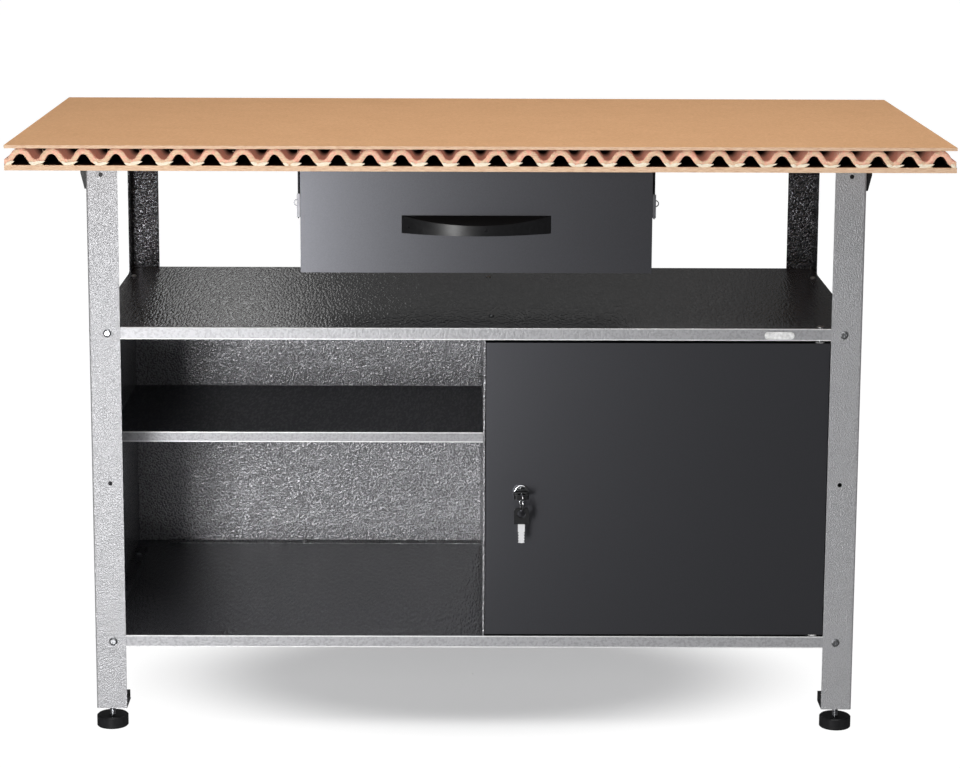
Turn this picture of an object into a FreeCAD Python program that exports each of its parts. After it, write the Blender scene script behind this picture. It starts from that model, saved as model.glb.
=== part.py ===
import FreeCAD, Part
import math
import os
import re

import Sketcher

# Workbench: a thick corrugated board on four angle legs, with a middle and a bottom shelf, an
# open bay with a half shelf, a cupboard with a lockable door, and a drawer on runners.
# Millimetres, +Z up, front towards -Y. The origin is on the floor, under the frame's centre.

SIZES = {
    # Worktop board: two flat liners with a fluted sheet glued between them
    "board_length": 1200,
    "board_depth": 600,
    "board_shift": 5,
    "bench_height": 786,
    "top_liner": 4,
    "bottom_liner": 6.5,
    "flute_height": 21.5,
    "flute_thick": 7.5,
    "flute_slope": 57,
    "flute_count": 30,
    # Frame: angle legs, set in from the board's edges
    "side_overhang": 100,
    "front_overhang": 55,
    "leg_flange": 40,
    "leg_wall": 1.5,
    "leg_bend": 2.5,
    "leg_lift": 30,
    "leg_hole": 2.9,
    "bolt_inset": 23.5,
    "top_hole_inset": 19,
    "top_hole_drop": 12,
    "spare_hole_height": 336,
    # Plastic cap between each leg and the board
    "cap_plate": 2,
    "cap_block": 22,
    "cap_reach": 30,
    "cap_play": 0.35,
    "ear_width": 7.5,
    "ear_foot": 2.5,
    "ear_height": 31,
    "ear_inset": 5,
    "ear_round": 3,
    "cap_screw_hole": 2.2,
    "cap_screw_pocket": 6,
    # Folded sheet trays and panels
    "shelf_sheet": 1,
    "shelf_lip": 16,
    "shelf_bend": 1.6,
    "shelf_deburr": 0.4,
    "middle_drop": 242.5,
    "bottom_height": 130,
    "half_height": 366,
    "half_depth": 312,
    "half_lip": 14,
    "panel_sheet": 0.8,
    "panel_flange": 18,
    "flange_short": 45,
    "partition_right": 12.5,
    "hem_width": 2.3,
    "hem_depth": 12,
    "panel_play": 0.3,
    "screw_inset": 9,
    "screw_span": 314,
    "back_screw_span": 500,
    "half_screw_span": 200,
    # Door on two pivot pins, and its cam lock
    "door_sheet": 0.8,
    "door_return": 18,
    "door_free_gap": 1.1,
    "door_leg_gap": 1,
    "door_top_gap": 3.5,
    "door_bottom_gap": 2.5,
    "pivot_inset": 12,
    "pivot_setback": 8.3,
    "pin_radius": 2.5,
    "pin_head_radius": 4.5,
    "pin_head": 1.5,
    "bush_radius": 4,
    "bush_flange_radius": 6,
    "bush_flange": 1,
    "bush_tail": 1.2,
    "running_gap": 0.05,
    "lock_inset": 46.4,
    "lock_height": 324.5,
    "bezel_radius": 10.7,
    "bezel": 3.5,
    "lock_radius": 9,
    "lock_length": 22,
    "lock_nut_across": 24,
    "lock_nut": 4,
    "plug_radius": 6,
    "tang_across": 6,
    "cam_length": 54,
    "cam_width": 16,
    "cam_sheet": 2,
    "cam_gap": 0.3,
    "cam_screw_radius": 1.5,
    "cam_screw_head": 4.5,
    "slot_play": 1.5,
    "key_width": 9,
    "key_sheet": 2,
    "key_reach": 23,
    "key_neck": 3,
    "key_head_width": 19.5,
    "key_head_length": 21,
    "key_head_thick": 5.5,
    "key_eye": 5.5,
    "key_land": 2,
    "key_play": 0.2,
    "key_corner": 4,
    "notch_depth": 1.6,
    "notch_count": 4,
    "ring_radius": 10.7,
    "ring_wire": 0.9,
    "ring_play": 0.3,
    "ring_turn": 9,
    # Drawer, its hangers and its three-part runners
    "front_width": 452,
    "front_height": 133,
    "front_top_gap": 5,
    "front_return": 15,
    "drawer_sheet": 0.8,
    "tray_depth": 400,
    "tray_height": 115,
    "tray_lift": 2,
    "tray_rim": 8,
    "runner_height": 35,
    "runner_width": 12.7,
    "runner_drop": 50.5,
    "runner_sheet": 1.2,
    "runner_flange": 10,
    "runner_play": 0.3,
    "runner_setback": 1,
    "ball_gap": 0.8,
    "front_side_gap": 0.4,
    "lug_width": 4,
    "lug_drop": 3,
    "loop_radius": 4.5,
    "loop_wire": 1.3,
    "hanger_sheet": 1.5,
    "hanger_flange": 25,
    # Drawer handle: a shell grip, closed on top and open below
    "grip_length": 192,
    "grip_reach": 27,
    "grip_rise": 51.5,
    "grip_height": 23,
    "grip_slope": 9.7,
    "grip_wall": 3,
    "grip_boss": 4.5,
    "grip_screw_span": 128,
    "grip_screw_rise": 7,
    "grip_screw": 2,
    # Adjustable feet
    "foot_inset_x": 18,
    "foot_inset_y": 22,
    "pad_radius": 20.8,
    "pad_height": 15.5,
    "pad_rim": 14,
    "pad_top_radius": 19.2,
    "pad_edge": 1,
    "spindle_radius": 4,
    "spindle_seat": 5,
    "spindle_length": 62,
    "insert_height": 13.5,
    "insert_flare": 5,
    "insert_tab": 1.6,
    "insert_bore": 4.3,
    "foot_nut_across": 13,
    "foot_nut": 6.5,
    # Fasteners
    "bolt_radius": 2.5,
    "bolt_head_radius": 5.3,
    "bolt_head": 2.6,
    "bolt_length": 12,
    "bolt_nut_across": 8,
    "bolt_nut": 4,
    "bolt_hole": 2.6,
    "screw_radius": 1.8,
    "screw_head_radius": 3.6,
    "screw_head": 1.8,
    "screw_length": 6,
    "screw_hole": 1.9,
    "wood_screw_radius": 2,
    "wood_screw_head": 4,
    "wood_screw_sink": 2.2,
    "wood_screw_short": 0.1,
}

# Levels that hang from the board: the middle shelf, the drawer and its runners rise and fall with it
LEVELS = {
    "board_bottom": "=bench_height - top_liner - flute_height - bottom_liner",
    "middle_height": "=bench_height - middle_drop",
    "front_bottom": "=board_bottom - front_top_gap - front_height",
    "runner_middle_height": "=board_bottom - runner_drop",
    "grip_bottom": "=front_bottom + grip_rise",
}

ALIASES = SIZES | LEVELS

doc = FreeCAD.newDocument("Workbench")
sheet = doc.addObject("Spreadsheet::Sheet", "sizes")
for row, (alias, value) in enumerate(ALIASES.items(), 1):
    sheet.set(f"A{row}", alias)
    sheet.set(f"B{row}", str(value))
    sheet.setAlias(f"B{row}", alias)
doc.recompute()

NODES = []
AXIS_TURN = {
    "x": FreeCAD.Rotation(FreeCAD.Vector(0, 1, 0), 90),
    "y": FreeCAD.Rotation(FreeCAD.Vector(1, 0, 0), -90),
    "z": FreeCAD.Rotation(),
    "-z": FreeCAD.Rotation(FreeCAD.Vector(1, 0, 0), 180),
    "-x": FreeCAD.Rotation(FreeCAD.Vector(0, 1, 0), -90),
    "-y": FreeCAD.Rotation(FreeCAD.Vector(1, 0, 0), 90),
}
SIDES = {"left": -1, "right": 1}
ENDS = {"front": -1, "rear": 1}
CORNERS = [(f"{end}_{side}", SIDES[side], ENDS[end]) for end in ENDS for side in SIDES]


def bound(text):
    """The expression with every size's name pointing at its cell in the sheet."""
    return re.sub(r"[a-z][a-z_]+", lambda word: ("sizes." if word[0] in ALIASES else "") + word[0], text)


def number(text):
    return float(sheet.evalExpression(bound(text)))


def bind(item, field, text):
    item.setExpression(field, bound(text))


def put(item, x, y, z, turn="z"):
    """Stands an item's origin at x, y, z, with its own +Z turned along an axis."""
    item.Placement = FreeCAD.Placement(FreeCAD.Vector(), AXIS_TURN[turn])
    for field, text in (("x", x), ("y", y), ("z", z)):
        bind(item, f"Placement.Base.{field}", text)
    return item


def node(item, name):
    item.Label = name
    NODES.append(item)
    return item


def mirrored(side, low, high):
    """A span measured outwards from the centre plane, on the left (-1) or right (1)."""
    return (low, high) if side > 0 else (f"-({high})", f"-({low})")


def block(name, x, y, z):
    """A box from its low and high bound along each axis."""
    item = doc.addObject("Part::Box", name)
    for field, (low, high) in (("Length", x), ("Width", y), ("Height", z)):
        bind(item, field, f"({high}) - ({low})")
    return put(item, x[0], y[0], z[0])


def rod(name, x, y, z, radius, length, turn="z"):
    item = doc.addObject("Part::Cylinder", name)
    bind(item, "Radius", radius)
    bind(item, "Height", length)
    return put(item, x, y, z, turn)


def hexagon(name, x, y, z, across, length, turn="z"):
    item = doc.addObject("Part::Prism", name)
    item.Polygon = 6
    bind(item, "Circumradius", f"({across}) / sqrt(3)")
    bind(item, "Height", length)
    return put(item, x, y, z, turn)


def joined(name, items):
    item = doc.addObject("Part::MultiFuse", name)
    item.Shapes = items
    item.Refine = True
    return item


def cut(name, base, tools):
    item = doc.addObject("Part::Cut", name)
    item.Base = base
    item.Tool = tools[0] if len(tools) == 1 else joined(f"{name}_tools", tools)
    item.Refine = True
    return item


def group(name, items):
    item = doc.addObject("Part::Compound", name)
    item.Links = items
    return item


def copy_of(body, name, x, y, z, turn="z"):
    item = doc.addObject("App::Link", name)
    item.LinkedObject = body
    item.LinkTransform = False
    return put(item, x, y, z, turn)


def plane_of(body, role):
    return next(plane for plane in body.Origin.OriginFeatures if plane.Role == role)


def new_sketch(body, name, role):
    sketch = body.newObject("Sketcher::SketchObject", name)
    sketch.AttachmentSupport = [(plane_of(body, role), "")]
    sketch.MapMode = "FlatFace"
    return sketch


def arc_middle(start, end, radius, side):
    """The middle point of the short arc that bulges to one side of its chord."""
    chord = end - start
    half = chord.Length / 2
    rise = radius - math.sqrt(max(radius * radius - half * half, 0))
    across = FreeCAD.Vector(-chord.y, chord.x, 0).normalize()
    return (start + end) / 2 + across * (rise * side)


def outline(body, name, role, corners, arcs=None):
    """A closed outline in which every corner is held by its two distances from the origin.

    arcs gives, for the edge that leaves a corner, its radius and the side it bulges to.
    """
    arcs = arcs or {}
    sketch = new_sketch(body, name, role)
    points = [FreeCAD.Vector(number(x), number(y), 0) for x, y in corners]
    count = len(corners)
    for index in range(count):
        start, end = points[index], points[(index + 1) % count]
        if index in arcs:
            radius, side = arcs[index]
            middle = arc_middle(start, end, number(radius), side)
            sketch.addGeometry(Part.Arc(start, middle, end))
        else:
            sketch.addGeometry(Part.LineSegment(start, end))
    starts = []
    for index in range(count):
        begin = sketch.getPoint(index, 1)
        forward = begin.distanceToPoint(points[index]) < begin.distanceToPoint(points[(index + 1) % count])
        starts.append(1 if forward else 2)
    for index in range(count):
        after = (index + 1) % count
        ends = (index, 3 - starts[index], after, starts[after])
        sketch.addConstraint(Sketcher.Constraint("Coincident", *ends))
    for index, (x, y) in enumerate(corners):
        for kind, text, value in (("DistanceX", x, points[index].x), ("DistanceY", y, points[index].y)):
            held = sketch.addConstraint(Sketcher.Constraint(kind, -1, 1, index, starts[index], value))
            bind(sketch, f"Constraints[{held}]", text)
        if index in arcs:
            held = sketch.addConstraint(Sketcher.Constraint("Radius", index, number(arcs[index][0])))
            bind(sketch, f"Constraints[{held}]", arcs[index][0])
    return sketch


def circles(body, name, role, spots, radius):
    """Circles of one radius, each centre held by its two distances from the origin."""
    sketch = new_sketch(body, name, role)
    for index, (x, y) in enumerate(spots):
        centre = FreeCAD.Vector(number(x), number(y), 0)
        sketch.addGeometry(Part.Circle(centre, FreeCAD.Vector(0, 0, 1), number(radius)))
        for kind, text, value in (("DistanceX", x, centre.x), ("DistanceY", y, centre.y)):
            held = sketch.addConstraint(Sketcher.Constraint(kind, -1, 1, index, 3, value))
            bind(sketch, f"Constraints[{held}]", text)
        held = sketch.addConstraint(Sketcher.Constraint("Radius", index, number(radius)))
        bind(sketch, f"Constraints[{held}]", radius)
    return sketch


def padded(body, name, sketch, length, reverse=False):
    pad = body.newObject("PartDesign::Pad", name)
    pad.Profile = sketch
    pad.Reversed = reverse
    bind(pad, "Length", length)
    return pad


def pocketed(body, name, sketch, length):
    """A pocket cut half its length to each side of the sketch's plane; it must remove metal."""
    doc.recompute()
    before = body.Shape.Volume
    pocket = body.newObject("PartDesign::Pocket", name)
    pocket.Profile = sketch
    pocket.SideType = "Symmetric"
    bind(pocket, "Length", length)
    doc.recompute()
    if body.Shape.Volume > before - 1e-6:
        raise ValueError(f"{body.Name}.{name} removes nothing")
    return pocket


def new_body(name):
    return doc.addObject("PartDesign::Body", name)


# Levels and planes that several pieces share
BOARD_BOTTOM = "board_bottom"
LEG_TOP = f"({BOARD_BOTTOM} - cap_plate)"
HALF_WIDTH = "(board_length / 2 - side_overhang)"
HALF_DEPTH = "(board_depth / 2 - front_overhang)"
LIP_X = f"({HALF_WIDTH} - leg_wall)"
LIP_Y = f"({HALF_DEPTH} - leg_wall)"
PANEL_X = f"({LIP_X} - shelf_sheet)"
PANEL_Y = f"({LIP_Y} - shelf_sheet)"
BAY_X = f"({PANEL_X} - panel_sheet)"
BAY_Y = f"({PANEL_Y} - panel_sheet)"
MIDDLE_UNDER = "(middle_height - shelf_sheet)"
MIDDLE_LIP = "(middle_height - shelf_lip / 2)"
BOTTOM_LIP = "(bottom_height - shelf_lip / 2)"
FRONT_FACE = f"(-{HALF_DEPTH})"
WEB_IN = "(front_width / 2 + front_side_gap)"
WEB_OUT = f"({WEB_IN} + runner_sheet)"
HANGER_OUT = f"({WEB_OUT} + hanger_sheet)"
HANGER_FRONT = f"({FRONT_FACE} + 2 * drawer_sheet)"
RUNNER_FRONT = f"({FRONT_FACE} + front_return + runner_setback)"
RUNNER_REAR = f"({FRONT_FACE} + drawer_sheet + tray_depth)"


# Worktop board

def board_liner(name, low, high):
    return block(
        f"{name}_sheet",
        ("board_shift - board_length / 2", "board_shift + board_length / 2"),
        ("-board_depth / 2", "board_depth / 2"),
        (low, high),
    )


node(board_liner("top_liner", "bench_height - top_liner", "bench_height"), "worktop_top_liner")


def bottom_liner():
    """The lower liner, with a hole for each screw that comes up from the frame and hangers."""
    liner = board_liner("bottom_liner", BOARD_BOTTOM, f"{BOARD_BOTTOM} + bottom_liner")
    tools = [
        rod(f"board_hole_{index}", x, y, f"{BOARD_BOTTOM} - bottom_liner", "wood_screw_radius",
            "3 * bottom_liner")
        for index, (x, y) in enumerate(board_screw_spots())
    ]
    return node(cut("bottom_liner_cut", liner, tools), "worktop_bottom_liner")


def board_screw_spots():
    """The four leg caps' screws, then three screws for each drawer hanger."""
    spots = [
        (f"{side} * ({HALF_WIDTH} - leg_flange / 2)", f"{end} * ({HALF_DEPTH} - leg_flange / 2)")
        for corner, side, end in CORNERS
    ]
    return spots + hanger_screw_spots(-1) + hanger_screw_spots(1)


def hanger_screw_spots(side):
    x = f"{side} * ({HANGER_OUT} + hanger_flange / 2)"
    return [(x, f"{HANGER_FRONT} + ({RUNNER_REAR} - {HANGER_FRONT}) * {share}") for share in (0.1, 0.5, 0.9)]


bottom_liner()


def fluted_core():
    """One wave of arcs and straight flanks, repeated along the board.

    The wave's centre line climbs by the flute's height less its thickness over half a pitch.
    """
    pitch = "(board_length / flute_count)"
    sine, cosine = "sin(flute_slope * 1 deg)", "cos(flute_slope * 1 deg)"
    climb = "(flute_height - flute_thick)"
    half = f"({pitch} / 2)"
    # With radius r and flank f: 2 r sin + f cos = half pitch and 2 r (1 - cos) + f sin = climb
    radius = f"(({half} * {sine} - {climb} * {cosine}) / (2 * (1 - {cosine})))"
    large = f"({radius} + flute_thick / 2)"
    small = f"({radius} - flute_thick / 2)"
    top = "flute_height"
    crest = f"({top} - {large})"
    corners = [
        ("0", "flute_thick"),
        (f"{small} * {sine}", f"{large} - {small} * {cosine}"),
        (f"{half} - {large} * {sine}", f"{crest} + {large} * {cosine}"),
        (f"{half} + {large} * {sine}", f"{crest} + {large} * {cosine}"),
        (f"{pitch} - {small} * {sine}", f"{large} - {small} * {cosine}"),
        (pitch, "flute_thick"),
        (pitch, "0"),
        (f"{pitch} - {large} * {sine}", f"{large} - {large} * {cosine}"),
        (f"{half} + {small} * {sine}", f"{crest} + {small} * {cosine}"),
        (f"{half} - {small} * {sine}", f"{crest} + {small} * {cosine}"),
        (f"{large} * {sine}", f"{large} - {large} * {cosine}"),
        ("0", "0"),
    ]
    arcs = {
        0: (small, -1),
        2: (large, 1),
        4: (small, -1),
        6: (large, 1),
        8: (small, -1),
        10: (large, 1),
    }
    body = new_body("flutes")
    wave = outline(body, "wave", "XZ_Plane", corners, arcs)
    pad = padded(body, "one_flute", wave, "board_depth")
    doc.recompute()
    pattern = body.newObject("PartDesign::LinearPattern", "all_flutes")
    pattern.Originals = [pad]
    pattern.Direction = (plane_of(body, "X_Axis"), [""])
    bind(pattern, "Length", f"board_length - {pitch}")
    pattern.Occurrences = round(number("flute_count"))
    body.Tip = pattern
    put(body, "board_shift - board_length / 2", "board_depth / 2", f"{BOARD_BOTTOM} + bottom_liner")
    return node(body, "worktop_flutes")


fluted_core()


# Legs: folded angle, one flange to the front or rear and one to the side

def leg(name, side, end):
    """The corner of the fold is the body's origin; both flanges run inwards from it."""
    body = new_body(f"leg_{name}_body")
    inward_x, inward_y = f"{-side}", f"{-end}"
    turn = side * end
    corners = [
        (f"{inward_x} * leg_bend", "0"),
        (f"{inward_x} * leg_flange", "0"),
        (f"{inward_x} * leg_flange", f"{inward_y} * leg_wall"),
        (f"{inward_x} * leg_bend", f"{inward_y} * leg_wall"),
        (f"{inward_x} * leg_wall", f"{inward_y} * leg_bend"),
        (f"{inward_x} * leg_wall", f"{inward_y} * leg_flange"),
        ("0", f"{inward_y} * leg_flange"),
        ("0", f"{inward_y} * leg_bend"),
    ]
    arcs = {3: ("leg_bend - leg_wall", turn), 7: ("leg_bend", -turn)}
    profile = outline(body, f"leg_{name}_profile", "XY_Plane", corners, arcs)
    padded(body, f"leg_{name}_length", profile, f"{LEG_TOP} - leg_lift")
    doc.recompute()
    levels = [f"{level} - leg_lift" for level in (MIDDLE_LIP, BOTTOM_LIP, "spare_hole_height")]
    for face, role, inward in (("end", "XZ_Plane", inward_x), ("side", "YZ_Plane", inward_y)):
        spots = [(f"{inward} * bolt_inset", level) for level in levels]
        spots.append((f"{inward} * top_hole_inset", f"{BOARD_BOTTOM} - top_hole_drop - leg_lift"))
        holes = circles(body, f"leg_{name}_{face}_spots", role, spots, "leg_hole")
        pocketed(body, f"leg_{name}_{face}_holes", holes, "4 * leg_wall")
    put(body, f"{side} * {HALF_WIDTH}", f"{end} * {HALF_DEPTH}", "leg_lift")
    return node(body, f"leg_{name}")


for corner_name, corner_side, corner_end in CORNERS:
    leg(corner_name, corner_side, corner_end)


def leg_cap(name, side, end):
    """Plastic cap: a plate on the leg's end, a block inside the angle and an ear outside it."""
    def across(low, high):
        return mirrored(side, f"{HALF_WIDTH} - ({high})", f"{HALF_WIDTH} - ({low})")

    def along(low, high):
        return mirrored(end, f"{HALF_DEPTH} - ({high})", f"{HALF_DEPTH} - ({low})")

    inner = "leg_wall + cap_play"
    top = (LEG_TOP, BOARD_BOTTOM)
    plate = block(f"cap_{name}_plate", across("0", "leg_flange"), along("0", "leg_flange"), top)
    core = block(
        f"cap_{name}_block",
        across(inner, "cap_reach"),
        along(inner, "cap_reach"),
        (f"{LEG_TOP} - cap_block", LEG_TOP),
    )
    ear_body = new_body(f"cap_{name}_ear")
    corners = [
        ("0", f"{BOARD_BOTTOM} - ear_height"),
        ("0", BOARD_BOTTOM),
        (f"{side} * (ear_width - ear_round)", BOARD_BOTTOM),
        (f"{side} * ear_width", f"{BOARD_BOTTOM} - ear_round"),
        (f"{side} * ear_width", f"{BOARD_BOTTOM} - ear_height / 3"),
        (f"{side} * ear_foot", f"{BOARD_BOTTOM} - ear_height"),
    ]
    ear = outline(ear_body, f"cap_{name}_ear_outline", "XZ_Plane", corners, {2: ("ear_round", side)})
    padded(ear_body, f"cap_{name}_ear_pad", ear, "leg_flange - 2 * ear_inset", reverse=True)
    front = f"-{HALF_DEPTH} + ear_inset" if end < 0 else f"{HALF_DEPTH} - leg_flange + ear_inset"
    put(ear_body, f"{side} * {HALF_WIDTH}", front, "0")
    cap = joined(f"cap_{name}_whole", [plate, core, ear_body])
    x = f"{side} * ({HALF_WIDTH} - leg_flange / 2)"
    y = f"{end} * ({HALF_DEPTH} - leg_flange / 2)"
    pocket = rod(f"cap_{name}_pocket", x, y, f"{LEG_TOP} - cap_block", "cap_screw_pocket", "cap_block")
    hole = rod(f"cap_{name}_hole", x, y, LEG_TOP, "cap_screw_hole", "cap_plate")
    return node(cut(f"cap_{name}", cap, [pocket, hole]), f"leg_cap_{name}")


for corner_name, corner_side, corner_end in CORNERS:
    leg_cap(corner_name, corner_side, corner_end)


# Shelves: sheet trays turned upside down, each with a lip all round

def tray_bolt_holes(name, level):
    """Holes through the four lips for the bolts that come through the legs."""
    tools = []
    reach = "3 * shelf_sheet"
    for corner, side, end in CORNERS:
        x, y = f"{side} * ({HALF_WIDTH} - bolt_inset)", f"{end} * ({HALF_DEPTH} - bolt_inset)"
        start_x = f"{LIP_X} - 2 * shelf_sheet" if side > 0 else f"-{LIP_X} - shelf_sheet"
        start_y = f"{LIP_Y} - 2 * shelf_sheet" if end > 0 else f"-{LIP_Y} - shelf_sheet"
        tools.append(rod(f"{name}_{corner}_end_hole", x, start_y, level, "bolt_hole", reach, "y"))
        tools.append(rod(f"{name}_{corner}_side_hole", start_x, y, level, "bolt_hole", reach, "x"))
    return tools


def deck_screw_spots():
    """Places of the small screws in a deck: side panels, partition and back panel."""
    half = "(screw_span / 2)"
    spots = []
    for end in (-1, 1):
        spots += [(f"{side} * ({BAY_X} - screw_inset)", f"{end} * {half}") for side in (-1, 1)]
        spots.append(("partition_right + screw_inset", f"{end} * {half}"))
        spots.append((f"{end} * back_screw_span / 2", f"{BAY_Y} - screw_inset"))
    return spots


def top_of(edge):
    return max(vertex.Z for vertex in edge.Vertexes)


def full_tray(name, height):
    outer = block(
        f"{name}_outer", (f"-{LIP_X}", LIP_X), (f"-{LIP_Y}", LIP_Y), (f"{height} - shelf_lip", height)
    )
    rounded = doc.addObject("Part::Fillet", f"{name}_bends")
    rounded.Base = outer
    doc.recompute()
    low = number(f"{height} - shelf_lip")
    rounded.Edges = [
        (index, *[number("shelf_bend" if top_of(edge) > low + 1e-4 else "shelf_deburr")] * 2)
        for index, edge in enumerate(outer.Shape.Edges, 1)
    ]
    hollow = block(
        f"{name}_hollow",
        (f"-{LIP_X} + shelf_sheet", f"{LIP_X} - shelf_sheet"),
        (f"-{LIP_Y} + shelf_sheet", f"{LIP_Y} - shelf_sheet"),
        (f"{height} - shelf_lip", f"{height} - shelf_sheet"),
    )
    tools = [hollow] + tray_bolt_holes(name, f"{height} - shelf_lip / 2")
    start, reach = f"{height} - 2 * shelf_sheet", "3 * shelf_sheet"
    for index, (x, y) in enumerate(deck_screw_spots()):
        tools.append(rod(f"{name}_screw_{index}", x, y, start, "screw_hole", reach))
    tools.append(rod(f"{name}_pivot", PIVOT_X, PIVOT_Y, start, "pin_radius + running_gap", reach))
    return node(cut(f"{name}_tray", rounded, tools), name)


DOOR_LEFT = "(partition_right + door_free_gap)"
DOOR_RIGHT = f"({HALF_WIDTH} - leg_flange - door_leg_gap)"
DOOR_BOTTOM = "(bottom_height + door_bottom_gap)"
DOOR_TOP = "(middle_height - shelf_lip - door_top_gap)"
PIVOT_X = f"({DOOR_RIGHT} - pivot_inset)"
PIVOT_Y = f"(-{LIP_Y} + pivot_setback)"

full_tray("middle_shelf", "middle_height")
full_tray("bottom_shelf", "bottom_height")


# Panels between the two shelves

FLANGE_Y = f"({BAY_Y} - flange_short)"
HALF_SCREWS = [f"{BAY_Y} - half_depth / 2 + {end} * half_screw_span / 2" for end in (-1, 1)]
HALF_SCREW_HEIGHT = "half_height - half_lip / 2"


def side_panel(side_name, side):
    """An upright sheet with a flange on each shelf, drilled where bolts and screws pass."""
    name = f"{side_name}_side_panel"
    upright = block(
        f"{name}_sheet",
        mirrored(side, BAY_X, PANEL_X),
        (f"-{PANEL_Y} + panel_play", f"{PANEL_Y}"),
        ("bottom_height", MIDDLE_UNDER),
    )
    pieces, tools = [upright], []
    for level, low, high in (
        ("bottom", "bottom_height", "bottom_height + panel_sheet"),
        ("top", f"{MIDDLE_UNDER} - panel_sheet", MIDDLE_UNDER),
    ):
        span = mirrored(side, f"{BAY_X} - panel_flange", PANEL_X)
        pieces.append(block(f"{name}_{level}_flange", span, (f"-{FLANGE_Y}", FLANGE_Y), (low, high)))
        for end in (-1, 1):
            x = f"{side} * ({BAY_X} - screw_inset)"
            spot = (f"{name}_{level}_{end + 1}", x, f"{end} * screw_span / 2", f"{low} - panel_sheet")
            tools.append(rod(*spot, "screw_hole", "3 * panel_sheet"))
    start = f"{PANEL_X} - 2 * panel_sheet" if side > 0 else f"-{PANEL_X} - panel_sheet"
    for end in (-1, 1):
        y = f"{end} * ({HALF_DEPTH} - bolt_inset)"
        tools.append(rod(f"{name}_bolt_{end + 1}", start, y, MIDDLE_LIP, "bolt_hole", "3 * panel_sheet", "x"))
    if side < 0:
        for index, y in enumerate(HALF_SCREWS):
            spot = (f"{name}_shelf_{index}", start, y, HALF_SCREW_HEIGHT)
            tools.append(rod(*spot, "screw_hole", "3 * panel_sheet", "x"))
    return node(cut(f"{name}_cut", joined(f"{name}_whole", pieces), tools), name)


for panel_side_name, panel_side in SIDES.items():
    side_panel(panel_side_name, panel_side)


def back_panel():
    name = "back_panel"
    inner = f"({BAY_X} - panel_play)"
    upright = block(
        f"{name}_sheet", (f"-{inner}", inner), (BAY_Y, PANEL_Y), ("bottom_height", MIDDLE_UNDER)
    )
    pieces, tools = [upright], []
    reach = f"({BAY_X} - flange_short)"
    for level, low, high in (
        ("bottom", "bottom_height", "bottom_height + panel_sheet"),
        ("top", f"{MIDDLE_UNDER} - panel_sheet", MIDDLE_UNDER),
    ):
        depth = (f"{BAY_Y} - panel_flange", PANEL_Y)
        pieces.append(block(f"{name}_{level}_flange", (f"-{reach}", reach), depth, (low, high)))
        for end in (-1, 1):
            spot = (f"{name}_{level}_{end + 1}", f"{end} * back_screw_span / 2", f"{BAY_Y} - screw_inset")
            tools.append(rod(*spot, f"{low} - panel_sheet", "screw_hole", "3 * panel_sheet"))
    for side in (-1, 1):
        x = f"{side} * ({HALF_WIDTH} - bolt_inset)"
        spot = (f"{name}_bolt_{side + 1}", x, f"{PANEL_Y} - 2 * panel_sheet", MIDDLE_LIP)
        tools.append(rod(*spot, "bolt_hole", "3 * panel_sheet", "y"))
    return node(cut(f"{name}_cut", joined(f"{name}_whole", pieces), tools), name)


back_panel()

LOCK_X = f"({DOOR_LEFT} + lock_inset)"
CAM_FRONT = f"(-{LIP_Y} + lock_length + cam_gap)"
CAM_REAR = f"({CAM_FRONT} + cam_sheet)"


def partition():
    """The upright between the open bay and the cupboard, hemmed in front, slotted for the cam."""
    name = "partition"
    left = "(partition_right - panel_sheet)"
    front = f"(-{PANEL_Y} + panel_play)"
    rear = f"({BAY_Y} - panel_sheet - panel_play)"
    pieces = [
        block(f"{name}_sheet", (left, "partition_right"), (front, rear), ("bottom_height", MIDDLE_UNDER)),
        block(
            f"{name}_hem",
            ("partition_right - hem_width", left),
            (front, f"{front} + hem_depth"),
            ("bottom_height", MIDDLE_UNDER),
        ),
    ]
    tools = []
    for level, low, high in (
        ("bottom", "bottom_height", "bottom_height + panel_sheet"),
        ("top", f"{MIDDLE_UNDER} - panel_sheet", MIDDLE_UNDER),
    ):
        span = (left, "partition_right + panel_flange")
        pieces.append(block(f"{name}_{level}_flange", span, (f"-{FLANGE_Y}", FLANGE_Y), (low, high)))
        for end in (-1, 1):
            spot = (f"{name}_{level}_{end + 1}", "partition_right + screw_inset", f"{end} * screw_span / 2")
            tools.append(rod(*spot, f"{low} - panel_sheet", "screw_hole", "3 * panel_sheet"))
        notch_x = (f"{left} - panel_sheet", "partition_right + 2 * panel_flange")
        notch_y = (f"{BAY_Y} - panel_flange - panel_play", BAY_Y)
        notch_z = (f"{low} - panel_play", f"{high} + panel_play")
        tools.append(block(f"{name}_{level}_notch", notch_x, notch_y, notch_z))
    sweep = f"sqrt(cam_length * cam_length - pow({LOCK_X} - partition_right; 2))"
    tools.append(
        block(
            f"{name}_cam_slot",
            (f"{left} - panel_sheet", "partition_right + panel_sheet"),
            (f"{CAM_FRONT} - slot_play", f"{CAM_REAR} + slot_play"),
            ("lock_height - cam_width / 2 - slot_play", f"lock_height + {sweep} + slot_play"),
        )
    )
    for index, y in enumerate(HALF_SCREWS):
        spot = (f"{name}_shelf_{index}", f"{left} - panel_sheet", y, HALF_SCREW_HEIGHT)
        tools.append(rod(*spot, "screw_hole", "3 * panel_sheet", "x"))
    return node(cut(f"{name}_cut", joined(f"{name}_whole", pieces), tools), name)


partition()


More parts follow.
